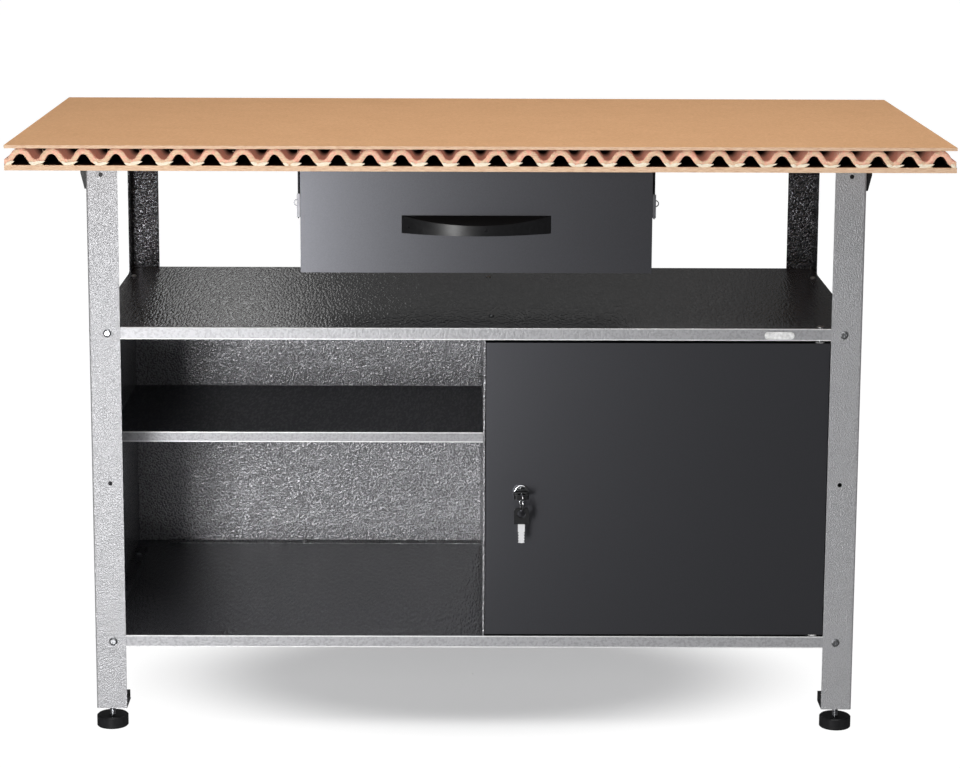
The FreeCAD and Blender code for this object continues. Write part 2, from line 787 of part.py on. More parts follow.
def half_shelf():
    """The half-depth shelf of the open bay: a tray with a lip in front and at both ends."""
    name = "inner_shelf"
    left, right = f"(-{BAY_X})", "(partition_right - panel_sheet)"
    front, rear = f"({BAY_Y} - half_depth)", BAY_Y
    deck = block(f"{name}_outer", (left, right), (front, rear), ("half_height - half_lip", "half_height"))
    hollow = block(
        f"{name}_hollow",
        (f"{left} + shelf_sheet", f"{right} - shelf_sheet"),
        (f"{front} + shelf_sheet", f"{rear} + shelf_sheet"),
        ("half_height - half_lip", "half_height - shelf_sheet"),
    )
    tools = [hollow]
    for index, y in enumerate(HALF_SCREWS):
        for end, x in (("left", left), ("right", right)):
            spot = (f"{name}_{end}_{index}", f"{x} - 1.5 * shelf_sheet", y, HALF_SCREW_HEIGHT)
            tools.append(rod(*spot, "screw_hole", "3 * shelf_sheet", "x"))
    return node(cut(f"{name}_cut", deck, tools), name)


half_shelf()


# Door: a pan folded from one sheet, hung on two pins that stand in the shelves

def door_panel():
    name = "door_panel"
    front = f"(-{LIP_Y})"
    depth = (front, f"{front} + door_return")
    outer = block(f"{name}_outer", (DOOR_LEFT, DOOR_RIGHT), depth, (DOOR_BOTTOM, DOOR_TOP))
    hollow = block(
        f"{name}_hollow",
        (f"{DOOR_LEFT} + door_sheet", f"{DOOR_RIGHT} - door_sheet"),
        (f"{front} + door_sheet", f"{front} + door_return"),
        (f"{DOOR_BOTTOM} + door_sheet", f"{DOOR_TOP} - door_sheet"),
    )
    tools = [hollow]
    for end, level in (("bottom", DOOR_BOTTOM), ("top", f"{DOOR_TOP} - door_sheet")):
        spot = (f"{name}_{end}_hole", PIVOT_X, PIVOT_Y, f"{level} - door_sheet")
        tools.append(rod(*spot, "bush_radius", "3 * door_sheet"))
    bore = "lock_radius + running_gap"
    lock_hole = rod(f"{name}_lock_hole", LOCK_X, f"{front} - door_sheet", "lock_height", bore,
                    "3 * door_sheet", "y")
    tools.append(lock_hole)
    return node(cut(f"{name}_cut", outer, tools), name)


door_panel()


def pivot_pins():
    """Two headed pins: one hangs from the middle shelf, one stands up through the bottom shelf."""
    pins = []
    reach = f"({MIDDLE_UNDER} + shelf_sheet - {DOOR_TOP} + door_sheet + bush_tail)"
    head = rod("upper_pin_head", PIVOT_X, PIVOT_Y, "middle_height", "pin_head_radius", "pin_head")
    shank = rod("upper_pin_shank", PIVOT_X, PIVOT_Y, f"middle_height - {reach}", "pin_radius", reach)
    pins.append(joined("upper_pin", [head, shank]))
    under = "(bottom_height - shelf_sheet)"
    head = rod("lower_pin_head", PIVOT_X, PIVOT_Y, f"{under} - pin_head", "pin_head_radius", "pin_head")
    reach = f"({DOOR_BOTTOM} + door_sheet + bush_tail - {under})"
    shank = rod("lower_pin_shank", PIVOT_X, PIVOT_Y, under, "pin_radius", reach)
    pins.append(joined("lower_pin", [head, shank]))
    return node(group("pivot_pins", pins), "door_pivot_pins")


pivot_pins()


def pivot_bushes():
    """Plastic bushes in the door's folds; the lower one's flange carries the door."""
    bushes = []
    for name, fold, low, high in (
        ("lower", f"{DOOR_BOTTOM}", "bottom_height + running_gap", DOOR_BOTTOM),
        ("upper", f"{DOOR_TOP} - door_sheet - bush_tail", DOOR_TOP, f"{DOOR_TOP} + bush_flange"),
    ):
        flange = rod(f"{name}_bush_flange", PIVOT_X, PIVOT_Y, low, "bush_flange_radius",
                     f"({high}) - ({low})")
        tail = rod(f"{name}_bush_tail", PIVOT_X, PIVOT_Y, fold, "bush_radius", "door_sheet + bush_tail")
        spot = (f"{name}_bush_bore", PIVOT_X, PIVOT_Y, f"({low}) - door_return")
        bore = rod(*spot, "pin_radius + running_gap", "2 * door_return")
        bushes.append(cut(f"{name}_bush", joined(f"{name}_bush_whole", [flange, tail]), [bore]))
    return node(group("pivot_bushes", bushes), "door_bushes")


pivot_bushes()


# Cam lock, with one key in it and its twin on a ring

def lock_rod(name, low, high, radius):
    """A round piece on the lock's axis, between two depths."""
    return rod(name, LOCK_X, low, "lock_height", radius, f"({high}) - ({low})", "y")


DOOR_FACE = f"(-{LIP_Y})"
BEZEL_FRONT = f"({DOOR_FACE} - bezel)"


def lock_housing():
    flange = lock_rod("bezel_flange", BEZEL_FRONT, DOOR_FACE, "bezel_radius")
    rounded = doc.addObject("Part::Fillet", "bezel_round")
    rounded.Base = flange
    doc.recompute()
    front = number(BEZEL_FRONT)
    rim = [
        index
        for index, edge in enumerate(flange.Shape.Edges, 1)
        if abs(edge.BoundBox.YMax - front) < 1e-4 and abs(edge.BoundBox.YMin - front) < 1e-4
    ]
    roundness = number("bezel") * 0.6
    rounded.Edges = [(index, roundness, roundness) for index in rim]
    barrel = lock_rod("lock_barrel", DOOR_FACE, f"{DOOR_FACE} + lock_length", "lock_radius")
    bore = lock_rod("lock_bore", f"{BEZEL_FRONT} - bezel", f"{CAM_REAR}", "plug_radius + running_gap")
    whole = joined("lock_housing_whole", [rounded, barrel])
    return node(cut("lock_housing_cut", whole, [bore]), "lock_housing")


lock_housing()

SKIN_BACK = f"({DOOR_FACE} + door_sheet)"
lock_nut_spot = ("lock_nut_blank", LOCK_X, SKIN_BACK, "lock_height")
lock_nut_blank = hexagon(*lock_nut_spot, "lock_nut_across", "lock_nut", "y")
lock_nut_bore = lock_rod("lock_nut_bore", f"{SKIN_BACK} - lock_nut", f"{SKIN_BACK} + 2 * lock_nut",
                         "lock_radius")
node(cut("lock_nut_cut", lock_nut_blank, [lock_nut_bore]), "lock_nut")

KEY_TIP = f"({BEZEL_FRONT} + key_reach)"


def key_slot(name, rear):
    half_wide, half_thick = "(key_width / 2 + key_play)", "(key_sheet / 2 + key_play)"
    return block(
        name,
        (f"{LOCK_X} - {half_wide}", f"{LOCK_X} + {half_wide}"),
        (f"{BEZEL_FRONT} - bezel", rear),
        (f"lock_height - {half_thick}", f"lock_height + {half_thick}"),
    )


def lock_plug():
    """The turning plug: a slot in front takes the key, a square tang behind takes the cam."""
    barrel = lock_rod("plug_barrel", f"{BEZEL_FRONT} - cam_gap", CAM_FRONT, "plug_radius")
    half = "(tang_across / 2)"
    tang = block(
        "plug_tang",
        (f"{LOCK_X} - {half}", f"{LOCK_X} + {half}"),
        (CAM_FRONT, CAM_REAR),
        (f"lock_height - {half}", f"lock_height + {half}"),
    )
    screw_bore = lock_rod("plug_screw_bore", f"{CAM_FRONT} - cam_gap", f"{CAM_REAR} + cam_sheet",
                          "cam_screw_radius")
    slot = key_slot("plug_key_slot", f"{KEY_TIP} + key_play")
    whole = joined("lock_plug_whole", [barrel, tang])
    return node(cut("lock_plug_cut", whole, [screw_bore, slot]), "lock_plug")


lock_plug()


def lock_cam():
    """The flat cam stands upright while the lock is open and swings left into the partition."""
    half = "(cam_width / 2)"
    tip = f"lock_height + cam_length - {half}"
    width = (f"{LOCK_X} - {half}", f"{LOCK_X} + {half}")
    strip = block("cam_strip", width, (CAM_FRONT, CAM_REAR), ("lock_height", tip))
    ends = [
        rod("cam_tip", LOCK_X, CAM_FRONT, tip, half, "cam_sheet", "y"),
        rod("cam_heel", LOCK_X, CAM_FRONT, "lock_height", half, "cam_sheet", "y"),
    ]
    side = "(tang_across / 2)"
    square = block(
        "cam_square",
        (f"{LOCK_X} - {side}", f"{LOCK_X} + {side}"),
        (f"{CAM_FRONT} - cam_sheet", f"{CAM_REAR} + cam_sheet"),
        (f"lock_height - {side}", f"lock_height + {side}"),
    )
    return node(cut("cam_cut", joined("cam_whole", [strip] + ends), [square]), "lock_cam")


lock_cam()

cam_screw_shank = lock_rod("cam_screw_shank", f"{CAM_FRONT} - cam_gap", CAM_REAR, "cam_screw_radius")
cam_screw_cap = lock_rod("cam_screw_cap", CAM_REAR, f"{CAM_REAR} + screw_head", "cam_screw_head")
node(joined("cam_screw_whole", [cam_screw_shank, cam_screw_cap]), "cam_screw")

HEAD_REAR = f"({BEZEL_FRONT} - key_neck)"
HEAD_FRONT = f"({HEAD_REAR} - key_head_length)"
RING_TOP = "(lock_height + key_head_thick / 2 + ring_play + ring_wire)"
RING_Y = f"({HEAD_FRONT} + key_land / 2)"
RING_BOTTOM = f"({RING_TOP} - 2 * ring_radius)"
RING_SAG = "(ring_radius - sqrt(ring_radius * ring_radius - key_head_thick * key_head_thick / 4))"
TWIN_TOP = f"({RING_BOTTOM} + ring_wire + {RING_SAG} + ring_play + key_land)"


def key_head(name):
    """A flat plastic bow with a large eye near its end; the neck's end is the body's origin."""
    body = new_body(f"{name}_body")
    half = "(key_head_width / 2)"
    corners = [
        (f"-{half}", "0"),
        (half, "0"),
        (half, "key_head_length - key_corner"),
        (f"{half} - key_corner", "key_head_length"),
        (f"-{half} + key_corner", "key_head_length"),
        (f"-{half}", "key_head_length - key_corner"),
    ]
    arcs = {2: ("key_corner", -1), 4: ("key_corner", -1)}
    shape = outline(body, f"{name}_outline", "XY_Plane", corners, arcs)
    padded(body, f"{name}_pad", shape, "key_head_thick")
    doc.recompute()
    eye = circles(body, f"{name}_eye", "XY_Plane", [("0", "key_head_length - key_land - key_eye")], "key_eye")
    pocketed(body, f"{name}_eye_cut", eye, "4 * key_head_thick")
    return body


def key_blade(name):
    """A flat blade with notches along both edges; the head's end is the body's origin."""
    body = new_body(f"{name}_body")
    half = "(key_width / 2)"
    waist = f"({half} - notch_depth)"
    reach = "(key_neck + key_reach)"
    collar = "(key_neck + key_reach / 3)"
    step = f"(({reach} - {collar}) / notch_count)"
    right = []
    for index in range(round(number("notch_count"))):
        right.append((waist, f"-{collar} - {step} * {index + 0.25}"))
        right.append((half, f"-{collar} - {step} * {index + 0.75}"))
    left = [(f"-{x}", y) for x, y in reversed(right)]
    corners = [(f"-{half}", "0"), (half, "0"), (half, f"-{collar}")]
    corners += right + [("0", f"-{reach}")] + left + [(f"-{half}", f"-{collar}")]
    shape = outline(body, f"{name}_outline", "XY_Plane", corners)
    padded(body, f"{name}_pad", shape, "key_sheet")
    return body


def place_key(pieces, flat):
    """Lays a key in the lock (flat) or hangs it upright from the ring."""
    for piece, thick in zip(pieces, ("key_head_thick", "key_sheet")):
        if flat:
            turn = FreeCAD.Rotation(FreeCAD.Vector(0, 0, 1), 180)
            place = (LOCK_X, HEAD_REAR, f"lock_height - {thick} / 2")
        else:
            turn = FreeCAD.Rotation(FreeCAD.Vector(1, 0, 0), 90)
            place = (LOCK_X, f"{RING_Y} + {thick} / 2", f"{TWIN_TOP} - key_head_length")
        put(piece, *place)
        piece.Placement = FreeCAD.Placement(piece.Placement.Base, turn)


for key_name, in_lock in (("key", True), ("spare_key", False)):
    head_body, blade_body = key_head(f"{key_name}_head"), key_blade(f"{key_name}_blade")
    place_key((head_body, blade_body), in_lock)
    node(head_body, f"{key_name}_head")
    node(blade_body, f"{key_name}_blade")

ring = doc.addObject("Part::Torus", "ring")
bind(ring, "Radius1", "ring_radius")
bind(ring, "Radius2", "ring_wire")
put(ring, LOCK_X, RING_Y, f"{RING_TOP} - ring_radius", "x")
ring_yaw = FreeCAD.Rotation(FreeCAD.Vector(0, 0, 1), number("ring_turn"))
ring.Placement = FreeCAD.Placement(ring.Placement.Base, ring_yaw.multiply(AXIS_TURN["x"]))
node(ring, "key_ring")


# Drawer: front pan, tray, shell grip, and on each side a hanger and a runner of three members

FRONT_TOP = f"({BOARD_BOTTOM} - front_top_gap)"
TRAY_X = f"({WEB_OUT} - runner_width)"
TRAY_FRONT = f"({FRONT_FACE} + drawer_sheet)"
TRAY_BOTTOM = "(front_bottom + tray_lift)"
GRIP_SCREW_HEIGHT = "(grip_bottom + grip_screw_rise)"


def grip_screw_holes(name):
    return [
        rod(
            f"{name}_grip_hole_{side + 1}",
            f"{side} * grip_screw_span / 2",
            f"{FRONT_FACE} - drawer_sheet",
            GRIP_SCREW_HEIGHT,
            "grip_screw",
            "4 * drawer_sheet",
            "y",
        )
        for side in (-1, 1)
    ]


def drawer_front():
    name = "drawer_front"
    half = "(front_width / 2)"
    depth = (FRONT_FACE, f"{FRONT_FACE} + front_return")
    outer = block(f"{name}_outer", (f"-{half}", half), depth, ("front_bottom", FRONT_TOP))
    hollow = block(
        f"{name}_hollow",
        (f"-{half} + drawer_sheet", f"{half} - drawer_sheet"),
        (TRAY_FRONT, f"{FRONT_FACE} + 2 * front_return"),
        ("front_bottom + drawer_sheet", f"{FRONT_TOP} - drawer_sheet"),
    )
    return node(cut(f"{name}_cut", outer, [hollow] + grip_screw_holes(name)), name)


drawer_front()


def drawer_tray():
    """An open box with a narrow folded rim along both sides and the back."""
    name = "drawer_tray"
    rear = RUNNER_REAR
    top = f"({TRAY_BOTTOM} + tray_height)"
    outer = block(f"{name}_outer", (f"-{TRAY_X}", TRAY_X), (TRAY_FRONT, rear), (TRAY_BOTTOM, top))
    hollow = block(
        f"{name}_hollow",
        (f"-{TRAY_X} + drawer_sheet", f"{TRAY_X} - drawer_sheet"),
        (f"{TRAY_FRONT} + drawer_sheet", f"{rear} - drawer_sheet"),
        (f"{TRAY_BOTTOM} + drawer_sheet", f"{top} - drawer_sheet"),
    )
    mouth = block(
        f"{name}_mouth",
        (f"-{TRAY_X} + tray_rim", f"{TRAY_X} - tray_rim"),
        (f"{TRAY_FRONT} + drawer_sheet", f"{rear} - tray_rim"),
        (f"{top} - 2 * drawer_sheet", f"{top} + drawer_sheet"),
    )
    return node(cut(f"{name}_cut", outer, [hollow, mouth] + grip_screw_holes(name)), name)


drawer_tray()


def grip_radius(chord, reach):
    return f"((({chord}) * ({chord}) / 4 + ({reach}) * ({reach})) / (2 * ({reach})))"


BOW = grip_radius("grip_length", "grip_reach")
BOW_AT_SCREW = f"sqrt({BOW} * {BOW} - grip_screw_span * grip_screw_span / 4)"
BOSS_REACH = f"({BOW_AT_SCREW} - {BOW} + grip_reach - grip_wall / 2)"


def drawer_handle():
    """Shell grip: a shallow bow in plan, sloping on top, hollow below, with two screw bosses."""
    body = new_body("grip_body")
    half = "(grip_length / 2)"
    bow = outline(
        body,
        "grip_plan",
        "XY_Plane",
        [(f"-{half}", "0"), (half, "0")],
        {1: (BOW, 1)},
    )
    padded(body, "grip_solid", bow, "grip_height")
    doc.recompute()
    slope = outline(
        body,
        "grip_slope_side",
        "YZ_Plane",
        [
            ("0", "grip_height"),
            ("-2 * grip_reach", "grip_height - 2 * grip_slope"),
            ("-2 * grip_reach", "2 * grip_height"),
            ("0", "2 * grip_height"),
        ],
    )
    pocketed(body, "grip_slope_cut", slope, "2 * grip_length")
    inner_length = "(grip_length - 6 * grip_wall)"
    inner_half = f"({inner_length} / 2)"
    ceiling = "(grip_height - grip_slope - grip_wall)"
    cavity = outline(
        body,
        "grip_cavity",
        "XY_Plane",
        [(f"-{inner_half}", "0"), (inner_half, "0")],
        {1: (grip_radius(inner_length, "grip_reach - grip_wall"), 1)},
    )
    pocketed(body, "grip_hollow", cavity, f"2 * {ceiling}")
    put(body, "0", FRONT_FACE, "grip_bottom")
    pieces, bores = [body], []
    for side in (-1, 1):
        spot = (f"{side} * grip_screw_span / 2", FRONT_FACE, GRIP_SCREW_HEIGHT)
        pieces.append(rod(f"grip_boss_{side + 1}", *spot, "grip_boss", BOSS_REACH, "-y"))
        bores.append(rod(f"grip_bore_{side + 1}", *spot, "grip_screw", f"{BOSS_REACH} / 2", "-y"))
    return node(cut("grip_cut", joined("grip_whole", pieces), bores), "drawer_handle")


drawer_handle()


def handle_screws():
    screws = []
    reach = f"2 * drawer_sheet + {BOSS_REACH} / 2"
    for side in (-1, 1):
        spot = (f"{side} * grip_screw_span / 2", f"({TRAY_FRONT} + drawer_sheet)", GRIP_SCREW_HEIGHT)
        head = rod(f"grip_screw_head_{side + 1}", *spot, "screw_head_radius", "screw_head", "y")
        shank = rod(f"grip_screw_shank_{side + 1}", *spot, "grip_screw", reach, "-y")
        screws.append(joined(f"grip_screw_{side + 1}", [head, shank]))
    return node(group("grip_screws", screws), "handle_screws")


handle_screws()

RUNNER_LOW = "(runner_middle_height - runner_height / 2)"
RUNNER_HIGH = "(runner_middle_height + runner_height / 2)"


def channel(name, side, web, flange_x, inset):
    """A channel member: its web, and two flanges drawn in from the runner's full height."""
    low, high = f"({RUNNER_LOW} + ({inset}))", f"({RUNNER_HIGH} - ({inset}))"
    depth = (RUNNER_FRONT, RUNNER_REAR)
    return [
        block(f"{name}_web", mirrored(side, *web), depth, (low, high)),
        block(f"{name}_bottom", mirrored(side, *flange_x), depth, (low, f"{low} + runner_sheet")),
        block(f"{name}_top", mirrored(side, *flange_x), depth, (f"{high} - runner_sheet", high)),
    ]


def runner(side_name, side):
    """Outer member on the hanger, middle member between, inner member on the drawer's side."""
    flange_in = f"({WEB_OUT} - runner_flange)"
    name = f"runner_outer_{side_name}"
    pieces = channel(name, side, (WEB_IN, WEB_OUT), (flange_in, WEB_OUT), "0")
    lug_low, lug_high = f"({RUNNER_LOW} + lug_drop / 2)", f"({RUNNER_HIGH} - lug_drop)"
    web_x, lug_x = mirrored(side, WEB_IN, WEB_OUT), mirrored(side, WEB_IN, f"{WEB_IN} + lug_width")
    loop_y, bore_y = f"{HANGER_FRONT} - runner_sheet", f"{HANGER_FRONT} - 2 * runner_sheet"
    pieces.append(block(f"{name}_tongue", web_x, (HANGER_FRONT, RUNNER_FRONT), (lug_low, lug_high)))
    pieces.append(block(f"{name}_lug", lug_x, (loop_y, HANGER_FRONT), (lug_low, lug_high)))
    loop_x = f"{side} * ({WEB_IN} + lug_width - loop_wire / 2)"
    loop_z = "runner_middle_height + lug_drop"
    disc = rod(f"{name}_loop_disc", loop_x, loop_y, loop_z, "loop_radius", "runner_sheet", "y")
    inner = "loop_radius - loop_wire"
    bore = rod(f"{name}_loop_bore", loop_x, bore_y, loop_z, inner, "3 * runner_sheet", "y")
    inward = block(
        f"{name}_loop_inside",
        mirrored(side, f"{WEB_IN} - 3 * loop_radius", f"{WEB_IN} + lug_width / 2"),
        (bore_y, f"{HANGER_FRONT} + 2 * runner_sheet"),
        (lug_low, lug_high),
    )
    pieces.append(cut(f"{name}_loop", disc, [bore, inward]))
    node(joined(f"{name}_whole", pieces), name)

    name = f"runner_middle_{side_name}"
    web_out = f"({WEB_IN} - runner_play)"
    web = (f"{web_out} - runner_sheet", web_out)
    pieces = channel(name, side, web, (flange_in, web_out), "runner_sheet + ball_gap")
    node(joined(f"{name}_whole", pieces), name)

    name = f"runner_inner_{side_name}"
    web = (TRAY_X, f"{TRAY_X} + runner_sheet")
    flange = (TRAY_X, f"{web_out} - runner_sheet - runner_play")
    pieces = channel(name, side, web, flange, "2 * (runner_sheet + ball_gap)")
    node(joined(f"{name}_whole", pieces), name)


def hanger(side_name, side):
    """A black angle under the board: its upright leg carries the runner."""
    name = f"drawer_hanger_{side_name}"
    depth, top = (HANGER_FRONT, RUNNER_REAR), (f"{BOARD_BOTTOM} - hanger_sheet", BOARD_BOTTOM)
    upright = block(f"{name}_leg", mirrored(side, WEB_OUT, HANGER_OUT), depth, (RUNNER_LOW, BOARD_BOTTOM))
    flange = block(f"{name}_flange", mirrored(side, WEB_OUT, f"{HANGER_OUT} + hanger_flange"), depth, top)
    tools = [
        rod(f"{name}_hole_{index}", x, y, f"{BOARD_BOTTOM} - 2 * hanger_sheet", "cap_screw_hole",
            "3 * hanger_sheet")
        for index, (x, y) in enumerate(hanger_screw_spots(side))
    ]
    return node(cut(f"{name}_cut", joined(f"{name}_whole", [upright, flange]), tools), name)


for runner_side_name, runner_side in SIDES.items():
    runner(runner_side_name, runner_side)
    hanger(runner_side_name, runner_side)


# Adjustable feet: a plastic insert in each leg holds a nut; the spindle stands in a round pad

def foot(name, side, end):
    def across(distance):
        return f"{side} * ({HALF_WIDTH} - ({distance}))"

    x = across("foot_inset_x")
    y = f"{end} * ({HALF_DEPTH} - foot_inset_y)"
    body = new_body(f"insert_{name}_body")
    inner = "(leg_wall + cap_play)"
    width = "(leg_flange - leg_wall - cap_play)"
    corners = [
        ("0", "0"),
        (f"{-side} * {width}", "0"),
        (f"{-side} * ({width} + insert_flare)", "insert_height"),
        ("0", "insert_height"),
    ]
    tab = outline(body, f"insert_{name}_outline", "XZ_Plane", corners)
    padded(body, f"insert_{name}_tab", tab, "insert_tab", reverse=True)
    start = f"-{HALF_DEPTH} + {inner}" if end < 0 else f"{HALF_DEPTH} - {inner} - insert_tab"
    put(body, across(inner), start, "leg_lift")
    core = block(
        f"insert_{name}_core",
        mirrored(side, f"{HALF_WIDTH} - {inner} - {width}", f"{HALF_WIDTH} - {inner}"),
        mirrored(end, f"{HALF_DEPTH} - leg_flange + {inner}", f"{HALF_DEPTH} - {inner}"),
        ("leg_lift", "leg_lift + insert_height"),
    )
    bore = rod(f"insert_{name}_bore", x, y, "leg_lift - insert_height", "insert_bore", "3 * insert_height")
    insert = joined(f"insert_{name}_whole", [body, core])
    node(cut(f"insert_{name}_cut", insert, [bore]), f"foot_insert_{name}")

    spindle = rod(f"spindle_{name}", x, y, "spindle_seat", "spindle_radius", "spindle_length")
    node(spindle, f"foot_spindle_{name}")

    pad_body = new_body(f"pad_{name}_body")
    corners = [
        ("spindle_radius + running_gap", "spindle_seat"),
        ("spindle_radius + running_gap", "pad_height"),
        ("pad_top_radius", "pad_height"),
        ("pad_radius", "pad_rim"),
        ("pad_radius", "pad_edge"),
        ("pad_radius - pad_edge", "0"),
        ("0", "0"),
        ("0", "spindle_seat"),
    ]
    profile = outline(pad_body, f"pad_{name}_profile", "XZ_Plane", corners)
    turned = pad_body.newObject("PartDesign::Revolution", f"pad_{name}_turned")
    turned.Profile = profile
    turned.ReferenceAxis = (profile, ["V_Axis"])
    turned.Angle = 360
    put(pad_body, x, y, "0")
    node(pad_body, f"foot_pad_{name}")
    nut = hexagon(f"foot_nut_{name}", x, y, "leg_lift + insert_height", "foot_nut_across", "foot_nut")
    reach = "2 * insert_height + foot_nut"
    thread = rod(f"foot_nut_{name}_bore", x, y, "leg_lift", "spindle_radius + running_gap", reach)
    return cut(f"foot_nut_{name}_cut", nut, [thread])


nuts = [foot(*corner) for corner in CORNERS]
node(group("all_foot_nuts", nuts), "foot_nuts")


# Fasteners: one of each kind is made once and copied to its places

def headed(name, head_radius, head, shank_radius, length, cross):
    """A screw under its head at the origin, shank along +Z, with a cross recess in the head."""
    cap = rod(f"{name}_cap", "0", "0", f"-({head}) / 2", head_radius, f"({head}) / 2")
    dome = doc.addObject("Part::Cone", f"{name}_dome")
    bind(dome, "Radius1", head_radius)
    bind(dome, "Radius2", f"({head_radius}) * 0.62")
    bind(dome, "Height", f"({head}) / 2")
    put(dome, "0", "0", f"-({head}) / 2", "-z")
    shank = rod(f"{name}_shank", "0", "0", "0", shank_radius, length)
    arm, slit = f"({head_radius}) * {cross}", f"({head_radius}) * {cross} / 5"
    depth = (f"-({head})", f"-({head}) / 2")
    arms = [
        block(f"{name}_arm_x", (f"-{arm}", arm), (f"-{slit}", slit), depth),
        block(f"{name}_arm_y", (f"-{slit}", slit), (f"-{arm}", arm), depth),
    ]
    return cut(f"{name}_screw", joined(f"{name}_blank", [cap, dome, shank]), arms)


def frame_fasteners():
    """Bolts through each leg into the shelf lips, with a nut on the inner side of each stack."""
    bolt = headed("bolt", "bolt_head_radius", "bolt_head", "bolt_radius", "bolt_length", 0.55)
    nut_blank = hexagon("bolt_nut_blank", "0", "0", "0", "bolt_nut_across", "bolt_nut")
    nut_bore = rod("bolt_nut_bore", "0", "0", "-bolt_nut", "bolt_radius", "3 * bolt_nut")
    nut = cut("bolt_nut_cut", nut_blank, [nut_bore])
    bolts, nuts_placed = [], []
    for corner, side, end in CORNERS:
        for level_name, level in (("middle", MIDDLE_LIP), ("bottom", BOTTOM_LIP)):
            stack = "(leg_wall + shelf_sheet)"
            clamped = f"({stack} + panel_sheet)" if level_name == "middle" else stack
            end_stack = clamped if end > 0 else stack
            name = f"{corner}_{level_name}"
            x, y = f"{side} * ({HALF_WIDTH} - bolt_inset)", f"{end} * ({HALF_DEPTH} - bolt_inset)"
            face_x, face_y = f"{side} * {HALF_WIDTH}", f"{end} * {HALF_DEPTH}"
            turn_y = "-y" if end > 0 else "y"
            turn_x = "-x" if side > 0 else "x"
            bolts.append(copy_of(bolt, f"bolt_{name}_end", x, face_y, level, turn_y))
            bolts.append(copy_of(bolt, f"bolt_{name}_side", face_x, y, level, turn_x))
            nut_y = f"{end} * ({HALF_DEPTH} - {end_stack})"
            nut_x = f"{side} * ({HALF_WIDTH} - {clamped})"
            nuts_placed.append(copy_of(nut, f"nut_{name}_end", x, nut_y, level, turn_y))
            nuts_placed.append(copy_of(nut, f"nut_{name}_side", nut_x, y, level, turn_x))
    node(group("all_bolts", bolts), "frame_bolts")
    node(group("all_bolt_nuts", nuts_placed), "frame_nuts")


frame_fasteners()


def small_screws():
    """Self-tapping screws: down through both decks, and out through the half shelf's ends."""
    screw = headed("tapping", "screw_head_radius", "screw_head", "screw_radius", "screw_length", 0.6)
    placed = []
    for index, (x, y) in enumerate(deck_screw_spots()):
        placed.append(copy_of(screw, f"middle_screw_{index}", x, y, "middle_height", "-z"))
        placed.append(copy_of(screw, f"bottom_screw_{index}", x, y, "bottom_height + panel_sheet", "-z"))
    for index, y in enumerate(HALF_SCREWS):
        left = f"-{BAY_X} + shelf_sheet"
        right = "partition_right - panel_sheet - shelf_sheet"
        placed.append(copy_of(screw, f"half_left_{index}", left, y, HALF_SCREW_HEIGHT, "-x"))
        placed.append(copy_of(screw, f"half_right_{index}", right, y, HALF_SCREW_HEIGHT, "x"))
    node(group("all_panel_screws", placed), "panel_screws")


small_screws()


def board_screws():
    """Wood screws up into the board, through the leg caps and the drawer hangers."""
    reach = "(hanger_sheet + bottom_liner - wood_screw_short)"
    screw = headed("wood", "wood_screw_head", "wood_screw_sink", "wood_screw_radius", reach, 0.6)
    seats = [LEG_TOP] * len(CORNERS) + [f"{BOARD_BOTTOM} - hanger_sheet"] * 6
    placed = [
        copy_of(screw, f"board_screw_{index}", x, y, seat)
        for index, ((x, y), seat) in enumerate(zip(board_screw_spots(), seats))
    ]
    node(group("all_worktop_screws", placed), "worktop_screws")


board_screws()

doc.recompute()
for item in doc.Objects:
    if "Invalid" in item.State or "Error" in item.State:
        raise ValueError(f"{item.Name} failed: {item.State}")
for item in NODES:
    if item.Shape.isNull() or not item.Shape.isValid() or not item.Shape.Solids:
        raise ValueError(f"{item.Label} has no valid solid")

os.makedirs("parts", exist_ok=True)
for item in NODES:
    item.Shape.exportStep(f"parts/{item.Label}.step")
    print(f"{item.Label}: {len(item.Shape.Solids)} solid, {item.Shape.Volume:.0f} mm3")
print(len(NODES), "nodes")
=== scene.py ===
"""A workbench: a board of giant corrugated cardboard on a hammertone steel frame, with two shelves,
a half shelf, a lockable cupboard and a drawer. Lengths are in metres, up is +Z, the front faces -Y."""

import math

import bpy
import numpy as np
from mathutils import Euler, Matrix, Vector


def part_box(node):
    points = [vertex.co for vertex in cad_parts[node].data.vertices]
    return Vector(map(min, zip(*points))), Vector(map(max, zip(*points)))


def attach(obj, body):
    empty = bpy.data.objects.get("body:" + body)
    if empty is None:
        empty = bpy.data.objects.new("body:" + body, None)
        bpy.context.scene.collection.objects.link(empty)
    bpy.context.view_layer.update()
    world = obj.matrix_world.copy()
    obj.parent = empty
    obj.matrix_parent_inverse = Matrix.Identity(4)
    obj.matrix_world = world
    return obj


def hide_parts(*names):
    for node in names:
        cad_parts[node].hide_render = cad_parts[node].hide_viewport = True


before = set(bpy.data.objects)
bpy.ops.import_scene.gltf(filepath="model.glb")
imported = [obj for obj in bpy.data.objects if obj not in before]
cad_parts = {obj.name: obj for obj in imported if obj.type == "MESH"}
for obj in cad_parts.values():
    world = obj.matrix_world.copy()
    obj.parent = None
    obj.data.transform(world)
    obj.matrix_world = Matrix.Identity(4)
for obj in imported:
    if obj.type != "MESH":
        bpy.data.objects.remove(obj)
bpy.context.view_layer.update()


# Worktop liners: two flat sheets of brown kraft board, glued to the fluted sheet between them.
# Their faces are mottled with long fibres; the sawn edges are paler and layered.

